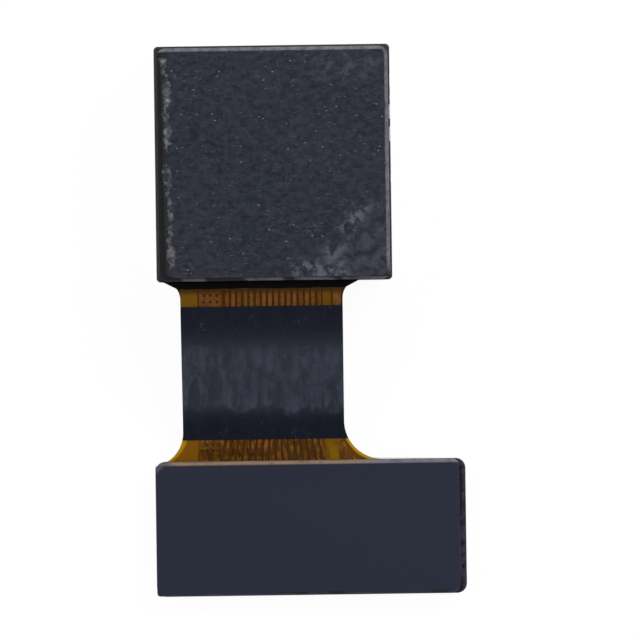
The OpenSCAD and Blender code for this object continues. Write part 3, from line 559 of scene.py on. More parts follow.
# the film on the rear plate: matt blue-black, mottled, with short dark pits and pale strokes that
# mostly run across it, and grey rubbed patches towards its lower right corner
def filmFinish():
    f = Finish("blackFilm", specular=0.2)
    x, y = f.axes("XY")
    cloud = f.noise(0.55, 4, 0.55)
    mottle = f.noise(3.4, 5, 0.72, at=f.moved(scale=(1, 1.25, 1)), warp=0.3)
    fine = f.noise(12, 4, 0.7)
    wisps = f.noise(1.0, 3, 0.7, at=f.moved(scale=(2.6, 5.6, 1)), warp=0.5)
    tint = f.noise(2.2, 4, 0.65, at=f.moved(shift=(0, 8, 3)))
    busy = f.patches(0.8, 2, 0.3, 0.6, at=f.moved(shift=(2.2, 5.1, 0)))
    specks = f.spots(4.6, 0.17, 0.03, scale=(0.62, 1.25, 1)) * f.patches(2.9, 3, 0.45, 0.6)
    strokes = f.spots(3.6, 0.26, 0.05, scale=(0.62, 2.6, 1), shift=(7, 2, 0))
    strokes = strokes * f.patches(2.4, 3, 0.36, 0.54) * busy
    pits = f.most(f.spots(4.0, 0.32, 0.1, scale=(0.8, 1.7, 1), turn=8, shift=(3.1, 1.7, 0)),
                  f.spots(4.4, 0.28, 0.1, scale=(1.9, 0.75, 1), turn=-6, shift=(6.4, 3.2, 0)))
    pits = pits * f.patches(3.3, 2, 0.4, 0.56) * busy
    # rubbed along a band that leans to the right, in the corner, and along the lower and upper edges
    across, along = x * 0.832 - y * 0.555, 0 - x * 0.555 - y * 0.832
    band = f.band(across, 3.3, 3.85, 0.3) * f.band(along, -0.7, 1.9, 0.35)
    worn = f.most(band * f.patches(2.9, 3, 0.46, 0.6, rough=0.55),
                  f.step(across, 3.2, 4.6) * f.step(y, -0.6, -2.2) * 0.3 * f.patches(2.6, 3, 0.4, 0.62),
                  f.band(x, 0.7, 2.7, 0.35) * f.step(y, -3.25, -3.8)
                  * f.patches(3.4, 4, 0.42, 0.64, rough=0.6),
                  f.band(x, 1.6, 3.9, 0.5) * f.step(y, 2.4, 3.4) * f.patches(2.4, 4, 0.45, 0.65) * 0.35)
    base = f.mix(tone(8, 12, 26), tone(45, 49, 61),
                 f.step(mottle * 0.56 + wisps * 0.26 + fine * 0.1 + cloud * 0.08, 0.36, 0.64))
    base = f.layers(base, (tone(42, 36, 46), f.step(cloud, 0.52, 0.72) * 0.2),
                    (tone(56, 44, 52), f.step(tint, 0.54, 0.68) * 0.4),
                    (tone(30, 48, 56), f.step(tint, 0.44, 0.3) * 0.4),
                    (tone(2, 2, 8), pits * 0.9),
                    (tone(94, 96, 106), worn * 0.78),
                    (tone(80, 82, 94), strokes * 0.8),
                    (tone(138, 140, 150), specks * 0.8),
                    (tone(20, 20, 22), f.step(x, -3.6, -3.95) * 0.85))
    f.paint(baseColor=base, roughness=0.6 - worn * 0.14 + fine * 0.12,
            normal=f.bump(mottle * 0.5 + fine * 0.2 + specks * 0.4 - pits * 0.8, 0.012))
    return f


# dried glue along the film's left edge: grey and patchy, clearer where it is thin
def residueFinish():
    f = Finish("glueResidue", specular=0.3)
    z, = f.axes("Z")
    patch = f.noise(3.0, 5, 0.6)
    fine = f.noise(6.5, 4, 0.6)
    base = f.mix(tone(50, 52, 56), tone(98, 100, 104), f.step(patch * 0.6 + fine * 0.4, 0.4, 0.62))
    base = f.mix(base, tone(142, 143, 147), f.step(fine, 0.55, 0.68) * f.step(patch, 0.48, 0.6) * 0.8)
    thick = f.step(z, body["filmTop"] - 0.001, body["filmTop"] + 0.009)
    f.paint(baseColor=base, roughness=0.45 + fine * 0.2,
            alpha=thick * (0.5 + f.step(patch, 0.34, 0.58) * 0.45), normal=f.bump(fine, 0.006))
    return f


# dark coated steel, dull, with painted highlights along its upper and right edges, fainter on the lower
def plateFinish():
    f = Finish("plateSteel", specular=0.12)
    x, y = f.axes("XY")
    highlightBreakup = f.noise(3.2, 5, 0.65)
    fine = f.noise(16, 4, 0.65)
    # painted highlight masks along the upper, right and lower edges, made patchy by a noise
    upper = f.step(y, 4.0, 4.08)
    right = f.step(x, 3.98, 4.06) * f.step(y, -4.15, -3.6)
    lower = f.step(y, -4.1, -4.16) * f.patches(0.9, 3, 0.42, 0.55, at=f.moved(shift=(4, 0, 0)))
    shine = f.most(upper, right * 0.85, lower * 0.4) * (0.5 + f.step(highlightBreakup, 0.3, 0.62) * 0.5)
    # the dark coat, with the pale grey painted highlight laid over it by shine
    base = f.mix(tone(19, 19, 22), f.mix(tone(104, 104, 114), tone(134, 134, 144), fine), shine)
    f.paint(baseColor=base, roughness=0.58 - shine * 0.1, normal=f.bump(fine, 0.006))
    return f


# black stiffener: flat face; a painted highlight along its top edge and upper left corner, dark chips below
def stiffenerFinish():
    f = Finish("stiffenerBlack", specular=0.22)
    x, y = f.axes("XY")
    highlightBreakup = f.noise(4.5, 5, 0.65)
    fine = f.noise(18, 3, 0.6)
    left = f.step(x, 4.2, 2.2)
    right = f.step(x, 6.36, 6.44)
    # the painted highlight along the top edge and at the upper left corner, made patchy by a noise
    upper = f.step(y, -10.93, -10.86) * (0.8 + left * 0.2)
    cornerCut = f.step(y - x, -6.86, -6.7) * 0.6
    rim = f.most(upper, cornerCut) * (0.65 + f.step(highlightBreakup, 0.3, 0.55) * 0.35)
    # the painted highlight's colour: tan on the left for a painted reflection of the amber film, grey to the
    # right
    cutEdge = f.mix(tone(130, 128, 140), f.mix(tone(126, 104, 84), tone(156, 134, 112), fine), left)
    cutEdge = f.mix(cutEdge, tone(92, 92, 100), f.step(x, -3.75, -4.05))
    chips = f.patches(0.75, 1, 0.56, 0.6, at=f.moved(scale=(1, 0.1, 0.1), shift=(1.3, 0, 0)))
    # a faint painted highlight along the right edge, then the painted highlight of the top edge and corner
    base = f.layers(tone(21, 26, 43), (tone(24, 29, 46), f.noise(0.8, 3)),
                    (tone(40, 36, 54), right * f.step(highlightBreakup, 0.4, 0.6) * 0.25), (cutEdge, rim),
                    (tone(4, 4, 6), chips * f.step(y, -15.5, -15.55)))
    f.paint(baseColor=base, roughness=0.62 + fine * 0.08, normal=f.bump(fine, 0.0015))
    return f


# dark laminated shielding: pressed folds along the ribbon, a painted sheen over the slope that stands for
# a lamp's reflection, down to an uneven line with a painted highlight on it, and a few fine scratches
def shieldFinish():
    f = Finish("shieldFilm", specular=0.12, specularTint=(0.72, 0.8, 1.0))
    y, = f.axes("Y")
    streak = f.noise(1.0, 3, 0.55, at=f.moved(scale=(3.1, 0.6, 0.2)), warp=0.5)
    arches = f.noise(1.0, 2, 0.45, at=f.moved(scale=(2.2, 1.3, 0.2), shift=(3, 1, 0)), warp=0.9)
    drift = f.noise(1.0, 2, 0.5, at=f.moved(scale=(0.9, 1.6, 0.2), shift=(6, 2, 0)), warp=0.4)
    cloud = f.noise(1.7, 4, 0.62)
    grain = f.noise(9, 4, 0.7)
    dust = f.step(f.cells(3.4), 0.07, 0.02) * f.patches(1.3, 2, 0.48, 0.62)
    scratch = f.noise(1.0, 2, at=f.moved(scale=(3.1, 0.55, 1), shift=(9, 4, 0)))
    scratch = f.step(abs(scratch - 0.5), 0.006, 0.001) * f.patches(2.0, 2, 0.52, 0.6)
    # the painted sheen's lower edge, uneven like a lamp's edge reflected in a slightly wavy film
    lower = y + (arches - 0.5) * 0.7 + (drift - 0.5) * 0.9
    paintedSheen = f.step(lower, -9.1, -8.5) * f.step(y + (cloud - 0.5) * 0.5, -6.3, -7.1)
    # a painted highlight along that edge
    line = f.band(lower, -8.76, -8.64, 0.12) * 0.45
    bent = f.band(y, -6.3, -5.4, 0.5)
    base = f.mix(tone(4, 6, 15), tone(14, 17, 29),
                 f.step(streak * 0.4 + cloud * 0.3 + grain * 0.3, 0.34, 0.66))
    # the painted sheen's own colour over the slope
    lit = f.mix(tone(12, 15, 28), tone(52, 55, 69),
                f.step(streak * 0.4 + arches * 0.34 + cloud * 0.14 + grain * 0.12, 0.38, 0.62))
    # over the base: the painted sheen, then one pale colour for the painted highlight on its edge and the
    # real scratches, then dust
    base = f.layers(base, (lit, paintedSheen * 0.8),
                    (tone(66, 70, 84), f.most(line * f.step(streak, 0.42, 0.6), scratch * 0.6)),
                    (tone(96, 100, 110), dust * 0.6))
    f.paint(baseColor=base, roughness=0.36 + streak * 0.1 + cloud * 0.08 + bent * 0.22,
            normal=f.bump(streak * 0.6 + arches * 0.5 + grain * 0.06, 0.02))
    return f


# clear amber coverlay: copper and core show through it; it is black ink over the pad's bare strip, with a
# painted highlight along that strip's outer edge; it is black on the tops of the neck's two fillets, and
# a painted shadow fades from the glue bead down the neck
def coverlayFinish():
    f = Finish("amberCoverlay", specular=0.1)
    x, y, z = f.axes("XYZ")
    cloud = f.noise(1.6, 4, 0.6)
    fine = f.noise(14, 3, 0.6)
    strip = f.step(x, 6.36, 6.44)
    wing = f.step(abs(x + 0.48), 2.86, 3.0) * f.step(y, -5.0, -4.7)
    # the ink on the strip, the black fillet tops and, fading down from the bead, a painted shadow
    inkAndPaintedShade = f.most(strip, f.step(y, -4.86, -4.5) * 0.6, wing * 0.9)
    patch = f.patches(3.0, 3, 0.46, 0.56)
    gaps = f.patches(2.2, 3, 0.56, 0.6, at=f.moved(shift=(0, 3, 0)))
    sides = f.most(f.step(x, -2.7, -2.95), f.band(x, 1.72, 2.3, 0.08))
    lowEnd = f.step(y, -9.7, -10.1) * f.step(z, 0.88, 0.9) * (0.15 + sides * 0.85)
    amber = f.mix(f.mix(tone(84, 50, 2), tone(112, 72, 6), cloud), tone(176, 122, 4), lowEnd * 0.6)
    # lit: a painted highlight in patches on the strip's outer edge, fully lit at its far right
    lit = f.patches(1.0, 1, 0.53, 0.47, at=f.moved(scale=(0.1, 0.8, 0.1), shift=(0, 2, 0)))
    lit = f.most(f.step(x, 6.6, 6.74), lit * 0.85)
    edge = f.mix(tone(14, 13, 22), f.mix(tone(42, 38, 54), tone(62, 56, 74), patch), lit)
    # black for the painted shadow and the fillet tops; on the strip, ink with its painted highlight and dark
    # gaps
    inkAndPaintedLight = f.mix(tone(6, 6, 7), f.mix(edge, tone(3, 3, 6), gaps * f.step(x, 6.8, 6.7)), strip)
    f.paint(baseColor=f.mix(amber, inkAndPaintedLight, inkAndPaintedShade), roughness=0.34 + fine * 0.12,
            alpha=f.most(0.14 + cloud * 0.08 + lowEnd * 0.12, inkAndPaintedShade), normal=f.bump(fine, 0.002))
    return f


# the ribbon's core: golden where both faces are clear, dark brown where the other face is copper,
# and amber at the board's cut edge
def coreFinish():
    f = Finish("polyimideCore", specular=0.05)
    x, y = f.axes("XY")
    cloud = f.noise(2.0, 3, 0.6)
    fanned = f.step(y, -9.9, -10.6)
    onNeck = f.step(y, -11.15, -11.05)
    left = f.step(x + fanned * 0.22, -2.76, -2.82)
    right = f.band(x - fanned * 0.22, 1.72, 2.02, 0.03) * 0.75
    margin = f.most(f.step(abs(x - 1.195), 5.26, 5.29), f.step(y, -15.29, -15.31))
    lower = f.step(y, -9.75, -9.85)

    # how far a point lies inside the rounded corner between neck and pad
    def inside(side, radius):
        dx, dy = x - (side + math.copysign(radius, side)), y - (ribbon["padTop"] + radius)
        return f.calc("SQRT", dx * dx + dy * dy) - radius

    leftRim = inside(ribbon["left"], ribbon["flareLeft"])
    rightRim = inside(ribbon["right"], ribbon["flareRight"])
    rims = f.most(f.step(leftRim, 0.3, 0.18), f.band(rightRim, 0.0, 0.1, 0.04),
                  f.band(rightRim, 0.3, 0.4, 0.05) * 0.7)
    bare = f.most(f.step(x, -2.6, -2.7), f.step(x, 2.3, 2.4)) * lower
    sides = f.most(left * (1 - lower), right * (1 - lower * 0.4), rims * bare)
    dark = f.mix(tone(26, 10, 0), tone(44, 20, 2), cloud)
    dark = f.mix(dark, f.mix(tone(104, 52, 4), tone(128, 74, 8), cloud), bare * onNeck)
    golden = f.mix(tone(120, 84, 12), tone(144, 106, 18), cloud)
    golden = f.layers(golden, (tone(208, 166, 14), fanned), (tone(250, 208, 22), rims * bare))
    cutEdge = f.mix(tone(74, 46, 10), tone(104, 68, 16), cloud)
    base = f.layers(dark, (golden, f.most(sides * onNeck, margin)), (cutEdge, f.step(y, -4.4, -4.2)))
    f.paint(baseColor=base, roughness=0.45, normal=f.bump(cloud, 0.002))
    return f


# etched copper under the coverlay; towards the pad it is darkened in short ragged strokes
def copperFinish():
    f = Finish("tracesCopper", specular=0.15)
    x, y = f.axes("XY")
    fine = f.noise(11, 4, 0.65)
    run = f.noise(1.0, 3, 0.6, at=f.moved(scale=(3.0, 0.8, 0.8)))
    low = f.step(y, -9.7, -10.0)
    smear = f.patches(1.0, 3, 0.43, 0.54, rough=0.6, at=f.moved(scale=(9.0, 2.4, 1)), warp=0.3)
    smear = smear * low * (0.8 + f.step(abs(x + 0.35), 2.2, 1.6) * 0.2)
    base = f.mix(tone(92, 50, 14), tone(136, 88, 42), f.step(run * 0.5 + fine * 0.5, 0.36, 0.64))
    base = f.layers(base, (tone(158, 96, 18), low * 0.6), (tone(34, 14, 0), smear * 0.88))
    f.paint(baseColor=base, roughness=0.42 + fine * 0.15, normal=f.bump(fine, 0.004))
    return f


# drawn stainless sheet: satin, faintly brushed, with light scuffs and slight stains
def canFinish():
    f = Finish("canSteel", metallic=1.0)
    z, = f.axes("Z")
    brushed = f.noise(1.0, 5, 0.7, at=f.moved(scale=(0.9, 0.9, 24)))
    faceGrain = f.noise(9.0, 4, 0.65)
    stain = f.noise(0.5, 4, 0.6)
    scuff = f.noise(1.0, 1, 0.4, at=f.moved(scale=(0.5, 0.5, 2.3), shift=(3, 2, 5)))
    scuff = f.step(abs(scuff - 0.5), 0.004, 0.001) * f.patches(1.3, 2, 0.5, 0.6) * 0.6
    onWall = f.step(z, 0.05, 0.2)
    grain = brushed * onWall + faceGrain * (1 - onWall)
    base = f.mix(tone(134, 135, 138), tone(164, 164, 166), f.step(grain * 0.7 + stain * 0.3, 0.32, 0.68))
    base = f.mix(base, tone(196, 196, 197), f.most(scuff * 0.5, f.step(z, 0.07, 0.02) * 0.3))
    f.paint(baseColor=base, roughness=0.26 + grain * 0.14 + stain * 0.06,
            normal=f.bump(grain + scuff * 0.3, 0.0016))
    return f


# clear optical glass; the tint of its reflections stands for the coating
def glassFinish(name, tint, sheen, index, shine):
    f = Finish(name, transmissionWeight=1.0, ior=index, specular=shine, specularTint=sheen)
    haze = f.noise(3.0, 3, 0.6)
    f.paint(baseColor=f.mix(tint, tuple(c * 0.97 for c in tint), haze), roughness=0.01 + haze * 0.02)
    return f


# the sensor: a dark, faintly iridescent image area inside a frame with a row of pads at each end
def siliconFinish():
    f = Finish("silicon", metallic=0.35, specular=0.6)
    x, y = f.axes("XY")
    hue = f.noise(0.35, 2, 0.5, at=f.moved(turn=35))
    image = f.band(x, -2.3, 2.3, 0.01) * f.band(y, -1.95, 1.95, 0.01)
    pitch = abs(f.calc("FRACT", y * 4.0) - 0.5)
    pads = f.band(abs(x), 2.56, 2.68, 0.005) * f.step(pitch, 0.16, 0.2) * f.step(abs(y), 2.1, 2.05)
    deep = f.mix(tone(22, 30, 36), tone(46, 28, 52), f.step(hue, 0.42, 0.58))
    base = f.layers(tone(58, 64, 60), (tone(70, 74, 78), f.noise(9, 3)), (deep, image),
                    (tone(214, 178, 110), pads))
    f.paint(baseColor=base, roughness=0.16 + image * 0.06,
            normal=f.bump(f.cells(40, randomness=0.0) * image, 0.001))
    return f


# ceramic capacitors with tinned ends: the ends are where x is far from a multiple of the pitch
def chipFinish(pitch=0.95):
    f = Finish("chipCeramic")
    x, = f.axes("X")
    place = x / pitch
    away = abs(place - f.calc("ROUND", place)) * pitch
    ends = f.step(away, 0.185, 0.2)
    fine = f.noise(16, 3, 0.6)
    ceramic = f.mix(tone(142, 112, 84), tone(170, 138, 106), fine)
    f.paint(baseColor=f.mix(ceramic, tone(196, 196, 194), ends), metallic=ends,
            roughness=0.42 - ends * 0.12 + fine * 0.08, normal=f.bump(fine, 0.003))
    return f


finishes = {name: plainFinish(name, **values) for name, values in plain.items()}
finishes.update(lensGlass=glassFinish("lensGlass", (0.84, 0.86, 0.9), (0.6, 0.45, 1.0), 1.54, 0.14),
                filterGlass=glassFinish("filterGlass", (0.62, 0.86, 0.86), (1.0, 0.62, 0.6), 1.52, 0.3),
                silicon=siliconFinish(), chip=chipFinish(), blackFilm=filmFinish(), residue=residueFinish(),
                plateSteel=plateFinish(), stiffener=stiffenerFinish(), shieldFilm=shieldFinish(),
                coverlay=coverlayFinish(), core=coreFinish(), copper=copperFinish(), can=canFinish())
print("finishes made")


plate = dict(middle=(0.012, -0.03), halfX=4.172, halfY=4.21, radius=0.32, bevel=0.11, lowBevel=0.03,
             uneven=0.008, filmHalfX=4.052, filmHalfY=4.09, filmRadius=0.2, filmBevel=0.03,
             filmUneven=0.012, slant=0.1)


# steel plate and the film on it, both with rounded and slightly uneven edges; the film's left edge
# is cut a little askew, by a depth that grows with the way down it
def makePlate(v):
    uneven = v["uneven"]
    stack("rearPlate", bevelled(v["halfX"] - uneven, v["halfY"] - uneven, v["radius"], body["plate"],
                                body["film"], v["lowBevel"], v["bevel"], middle=v["middle"],
                                wobble=lambda line: ripple(line, uneven, 14, 5)),
          finishes["plateSteel"], stands=["rear_plate"], slot="plate_steel")

    def cut(line):
        onLeft = np.clip((-3.6 - line[:, 0]) / 0.3, 0, 1)
        down = np.clip((3.8 - line[:, 1]) / 7.6, 0, 1)
        return ripple(line, v["filmUneven"], 20, 11) - onLeft * v["slant"] * down
    stack("rearFilm", bevelled(v["filmHalfX"] - 0.014, v["filmHalfY"] - 0.014, v["filmRadius"],
                               body["film"] - 0.004, body["filmTop"], 0.0, v["filmBevel"],
                               middle=v["middle"], wobble=cut, side=80),
          finishes["blackFilm"], stands=["rear_film"], slot="black_film")


residue = dict(fromY=3.9, toY=-3.95, half=0.17, high=0.016, stations=420, across=34,
               middles=((3.9, -3.93), (3.4, -3.93), (3.0, -3.76), (2.1, -3.78), (1.7, -3.85), (1.2, -3.77),
                        (0.8, -3.76), (0.0, -3.86), (-0.5, -3.8), (-2.0, -3.74), (-3.95, -3.7)))


# dried glue: a line that follows the film's edge through the given middles, and across it a ragged
# crust, a sum of sines; it sinks under the film's face where the crust runs out, so it lies in patches
def makeResidue(v):
    y = np.linspace(v["fromY"], v["toY"], v["stations"])[:, None]
    draw = np.random.default_rng(31)

    # a sum of sines of random weight, pitch and phase
    def wander(low, high, count, at):
        return sum(draw.uniform(0.4, 1.0) * np.sin(draw.uniform(low, high) * at + draw.uniform(0, 6.28))
                   for _ in range(count)) / count ** 0.5
    places = np.array(v["middles"])[::-1]
    middle = np.interp(y, places[:, 0], places[:, 1]) + 0.02 * wander(2.0, 8.0, 6, y)
    t = np.linspace(-1, 1, v["across"])[None, :]
    x = middle + v["half"] * t
    place = y + 0 * x
    swell = 0.72 + 0.42 * wander(1.2, 6.0, 8, y)
    ragged = ripple(np.column_stack([x.ravel() * 3.2, place.ravel() * 2.2]), 0.9, 40, 17).reshape(x.shape)
    rise = np.clip(swell + ragged - 0.9 * np.abs(t) ** 1.4, -0.35, 1)
    ends = np.clip(np.minimum(y - v["toY"], v["fromY"] - y) / 0.2, 0, 1)
    border = (np.abs(t) < 0.999) & (ends > 0)
    base = body["filmTop"] - 0.0015
    upper = np.stack([x, place, np.where(border, base + v["high"] * rise * ends, base - 0.006)], -1)
    lower = np.stack([x, place, base - 0.012 + 0 * x], -1)[:, ::-1]
    stack("glueResidue", np.concatenate([upper, lower], 1), finishes["residue"], sharp=70, slot="glue")


# cuts the two channels of the motor's terminals into the right side of the body's outline
def channelled(line, middles=(1.0, 1.8), half=0.225, depth=0.2):
    line = line.copy()
    onRight = line[:, 0] > line[:, 0].max() - 1e-3
    for middle in middles:
        line[:, 0] -= onRight * depth * np.clip((half + 0.02 - np.abs(line[:, 1] - middle)) / 0.03, 0, 1)
    return line


# ring of a rounded rectangle with as many points as the body's outline
def ring(halfX, halfY, corner, z):
    return atHeight(roundedOutline(halfX, halfY, corner, side=150), z)


# chips: where along the side, how deep and how wide
holder = dict(bevel=0.05, corner=0.15, opening=3.15, shelf=3.6, filter=3.78, cavity=3.99,
              window=(2.6, 2.15), pocket=(3.0, 2.55), room=(3.65, 3.65), insideCorner=0.06,
              chips=((2.95, 0.05, 0.16), (2.3, 0.04, 0.07), (1.15, 0.035, 0.05), (-0.6, 0.03, 0.1)))


# the moulded holder: outside with rounded edges, two channels for the motor's terminals and a few
# chipped places on that side; inside the round opening, the shelf, the filter's pocket and the room
def makeHolder(v):
    def outside(inset, z, depth=1.0):
        half = body["half"] - inset
        line = ring(half, half, v["corner"] - inset, z)
        y = line[:, 1]
        onRight = line[:, 0] > half - 1e-3
        line[:, 0] = channelled(line)[:, 0]
        for middle, deep, wide in v["chips"]:
            line[:, 0] -= onRight * deep * depth * np.exp(-((y - middle) / wide) ** 4)
        return line

    b, low, high = v["bevel"], body["holder"], body["holderRear"]
    levels = (("room", high), ("room", v["cavity"]), ("pocket", v["cavity"]), ("pocket", v["filter"]),
              ("window", v["filter"]), ("window", v["shelf"]))
    rings = [ring(*v[space], v["insideCorner"], z) for space, z in levels]
    rings += [atHeight(v["opening"] * unitCircle(150), z) for z in (v["shelf"], low)]
    rings += [outside(*edge) for edge in ((b, low), (b * 0.3, low + b * 0.3), (0, low + b), (0, high - b),
                                          (b * 0.3, high - b * 0.3, 1.5), (b, high, 1.8))]
    stack("filterHolder", rings, finishes["holderMoulding"], closed=True, stands=["filter_holder"],
          slot="holder_moulding")


board = dict(half=4.2, corner=0.12, uneven=0.006, layers=(
    ("boardFront", "board_front_layer", "board", "core", 3),
    ("boardRear", "board_rear_layer", "coreRear", "boardRear", 8)))


# the board's rigid layers, with the slightly uneven edge of a routed panel
def makeBoard(v):
    half = v["half"] - 2 * v["uneven"]
    for name, node, low, high, seed in v["layers"]:
        stack(name, bevelled(half, half, v["corner"], body[low], body[high], 0.01, 0.015, steps=2,
                             wobble=lambda line: ripple(line, v["uneven"], 16, seed)),
              finishes["boardMask"], stands=[node], slot="board_mask")


pad = dict(middle=(1.085, -13.2), halfX=5.515, halfY=2.45, corner=0.36, low=0.955, high=1.205,
           lowBevel=0.02, bevel=0.1, uneven=0.008, smaller=(0.75, 1.0, 0.35, 1.0),
           nicks=((5.5, -11.9, 0.06), (5.5, -13.0, 0.05), (-2.4, -15.65, 0.05), (0.35, -15.65, 0.04),
                  (3.0, -15.65, 0.05)))


# the stiffener: a rounded plate, bevelled most along its upper edge, with small nicks in its outline
def makeStiffener(v):
    def wave(line):
        depth = ripple(line, v["uneven"], 22, 21)
        for x, y, size in v["nicks"]:
            away = ((line[:, 0] - x) / 0.35) ** 4 + ((line[:, 1] - y) / 0.3) ** 4
            depth -= size * 0.6 * np.exp(-away)
        return depth
    stack("connectorStiffener", bevelled(v["halfX"] - 0.01, v["halfY"] - 0.01, v["corner"], v["low"],
                                         v["high"], v["lowBevel"], v["bevel"], middle=v["middle"],
                                         wobble=wave, side=110, smaller=v["smaller"]),
          finishes["stiffener"], stands=["connector_stiffener"], slot="stiffener_black")


flex = dict(band=46, bend=34, slope=26, across=209, traces=16, pitch=0.222, traceWidth=0.13, traceX=-0.06,
            fanPitch=0.25, sunk=0.011, creases=9, creaseHigh=0.006, shieldAcross=150)


# the ribbon's rear layers: the coverlay, which shows the traces under it, and the shielding film
def makeRibbon(v, r=ribbon):
    top, end, padTop = r["shieldFrom"], r["shieldTo"], r["padTop"]
    padFrom, padTo = padTop - r["corner"], r["padBottom"] + r["corner"]
    neck = spaced((r["boardEdge"], top, v["band"]), (top, r["slopeFrom"], v["bend"]),
                  (r["slopeFrom"], r["slopeTo"], v["slope"]), (r["slopeTo"], end, v["bend"]),
                  (end, padTop, v["band"]))
    onPad = spaced((padTop - 0.004, padFrom, 14), (padFrom, padTo, 8), (padTo, r["padBottom"] + 0.001, 12))

    # the coverlay sinks between the traces: a smooth step at each trace's side
    def overTraces(x, y):
        fan = np.clip((end - y) / (end - padTop), 0, 1)
        pitch = v["pitch"] + (v["fanPitch"] - v["pitch"]) * fan
        k = (x - v["traceX"]) / pitch + (v["traces"] - 1) / 2
        near = np.abs(k - np.round(k)) * pitch
        onTraces = (k > -0.5) & (k < v["traces"] - 0.5)
        t = np.clip((near - v["traceWidth"] / 2) / 0.03, 0, 1)
        return np.where(onTraces & (y > padTop), -v["sunk"] * t * t * (3 - 2 * t), 0.0)

    rear = r["copper"] + r["coverlay"]
    ribbonLayer("rearCoverlay", np.concatenate([neck, onPad]), np.linspace(0, 1, v["across"]), r["copper"],
                rear, finishes["coverlay"], relief=overTraces, stands=["rear_coverlay"],
                slot="amber_coverlay")

    # shallow creases along the ribbon where the shield was pressed down over the bend, each a bell
    # curve across a leaning line; its two ends sink to the coverlay
    def creases(x, y):
        folds = np.zeros_like(x)
        draw = np.random.default_rng(4)
        for _ in range(v["creases"]):
            place, wide = draw.uniform(-3.2, 2.3), draw.uniform(0.12, 0.34)
            lean, deep = draw.uniform(-0.12, 0.12), draw.uniform(0.3, 1.0)
            folds += deep * np.exp(-((x - place - lean * (y - r["creaseAt"])) / wide) ** 2)
        ends = np.minimum(y - end, top - y)
        onBend = np.exp(-((y - r["creaseAt"]) / 1.25) ** 4)
        return v["creaseHigh"] * onBend * folds - 0.012 * (1 - np.clip(ends / 0.03, 0, 1)) ** 2

    ribbonLayer("rearShield", spaced((top, top - 0.1, 6), (top - 0.1, end + 0.1, 130), (end + 0.1, end, 6)),
                np.linspace(0, 1, v["shieldAcross"]), rear, rear + r["shield"] - 0.004,
                finishes["shieldFilm"], relief=creases, stands=["rear_shield_film"], slot="shield_film")


bead = dict(width=0.32, low=4.645, high=4.738, run=70, round=10)


# the glue bead at the neck's root: a quarter round from the board's edge down to the ribbon, which
# follows the ribbon's outline at both ends
def makeBead(v):
    root = ribbon["boardEdge"]
    turn = np.linspace(0, np.pi / 2, v["round"])
    y = root - v["width"] * np.concatenate([[0], np.sin(turn), [0]])
    z = np.concatenate([[v["low"]], v["low"] + (v["high"] - v["low"]) * np.cos(turn), [v["low"]]])
    left, right = ribbonEdges(np.minimum(y, root))
    x = left + (right - left) * np.linspace(0, 1, v["run"])[:, None]
    uneven = 1 + 0.03 * np.sin(x * 2.1 + 1) + 0.02 * np.sin(x * 7.3)
    y = root + (y - root) * uneven / 1.05
    stack("strainBead", np.stack([x, y, z + 0 * x], -1), finishes["bead"], stands=["strain_bead"],
          slot="glue")


can = dict(corner=0.35, inside=0.15, edge=0.15, fillet=0.05, openingEdge=0.04, rim=0.02, side=40)


# the drawn can: outside wall with a round front edge, inside wall, and the round opening; all its
# rings have as many points, and the opening's are those of a square moved onto a circle
def makeCan(v):
    half, inside, sheet, rim = body["half"], body["canInside"], body["canSheet"], body["canRim"]
    hole, edge = body["opening"], v["openingEdge"]
    outer = bevelled(half, half, v["corner"], 0, rim, v["edge"], v["rim"], steps=6)
    inner = bevelled(inside, inside, v["inside"], sheet, rim, v["fillet"], 0.0)[::-1]
    opening = [(hole, sheet), (hole, edge), (hole + edge * 0.3, edge * 0.3), (hole + edge, 0)]
    stack("motorCan", outer + inner + [atHeight(unitCircle(v["side"]) * r, z) for r, z in opening],
          finishes["can"], closed=True, stands=["motor_can"], slot="can_steel")


base = dict(rim=2.59, floor=2.79, flange=3.0, rear=3.2, hole=3.15, corner=0.15, insideCorner=0.06, bevel=0.03,
            canFit=0.005)


# the motor's base: a rim inside the can, a floor with a round hole, and a flange behind the can
def makeBase(v):
    inCan, frame, b = body["canInside"] - v["canFit"], body["frameInside"], v["bevel"]

    def flange(inset, z):
        half = body["half"] - inset
        return channelled(ring(half, half, v["corner"] - inset, z))
    rings = [atHeight(v["hole"] * unitCircle(150), z) for z in (v["rear"], v["floor"])]
    rings += [ring(half, half, corner, z) for half, corner, z in (
        (frame, v["insideCorner"], v["floor"]), (frame, v["insideCorner"], v["rim"]),
        (inCan, v["corner"], v["rim"]), (inCan, v["corner"], v["flange"] - 0.001))]
    rings += [flange(b, v["flange"]), flange(0, v["flange"] + b), flange(0, v["rear"] - b),
              flange(b, v["rear"])]
    stack("motorBase", rings, finishes["blackMoulding"], closed=True, stands=["motor_base"],
          slot="black_moulding")


lens = dict(first=1.45, last=2.45, rim=0.5, baffle=0.03, wall=0.25, front=0.35, fit=0.01, rimWidth=0.45,
            sag=0.1, entrance=1.0, flare=0.5, nose=2.8, noseLong=0.5, barrel=3.0, rear=3.5, ring=3.22,
            ringThick=0.2, ringWide=0.35, frontShare=(1.5, -0.8, 0.6, -1.6, -2.0),
            rearShare=(-0.6, -1.2, 0.8, 1.2, -1.2), grooves=7, grooveDeep=0.018, thread=26, threadDeep=0.022,
            slotDeep=0.16, slotHalf=0.075, faceGroove=(1.68, 2.3))


# the lenses grow evenly from the first to the last, and stand behind one another with a baffle between
def lensRadius(i, v=lens):
    return v["first"] + (v["last"] - v["first"]) * i / 4


def lensFront(i, v=lens):
    return v["front"] + v["wall"] + i * (v["rim"] + v["baffle"])


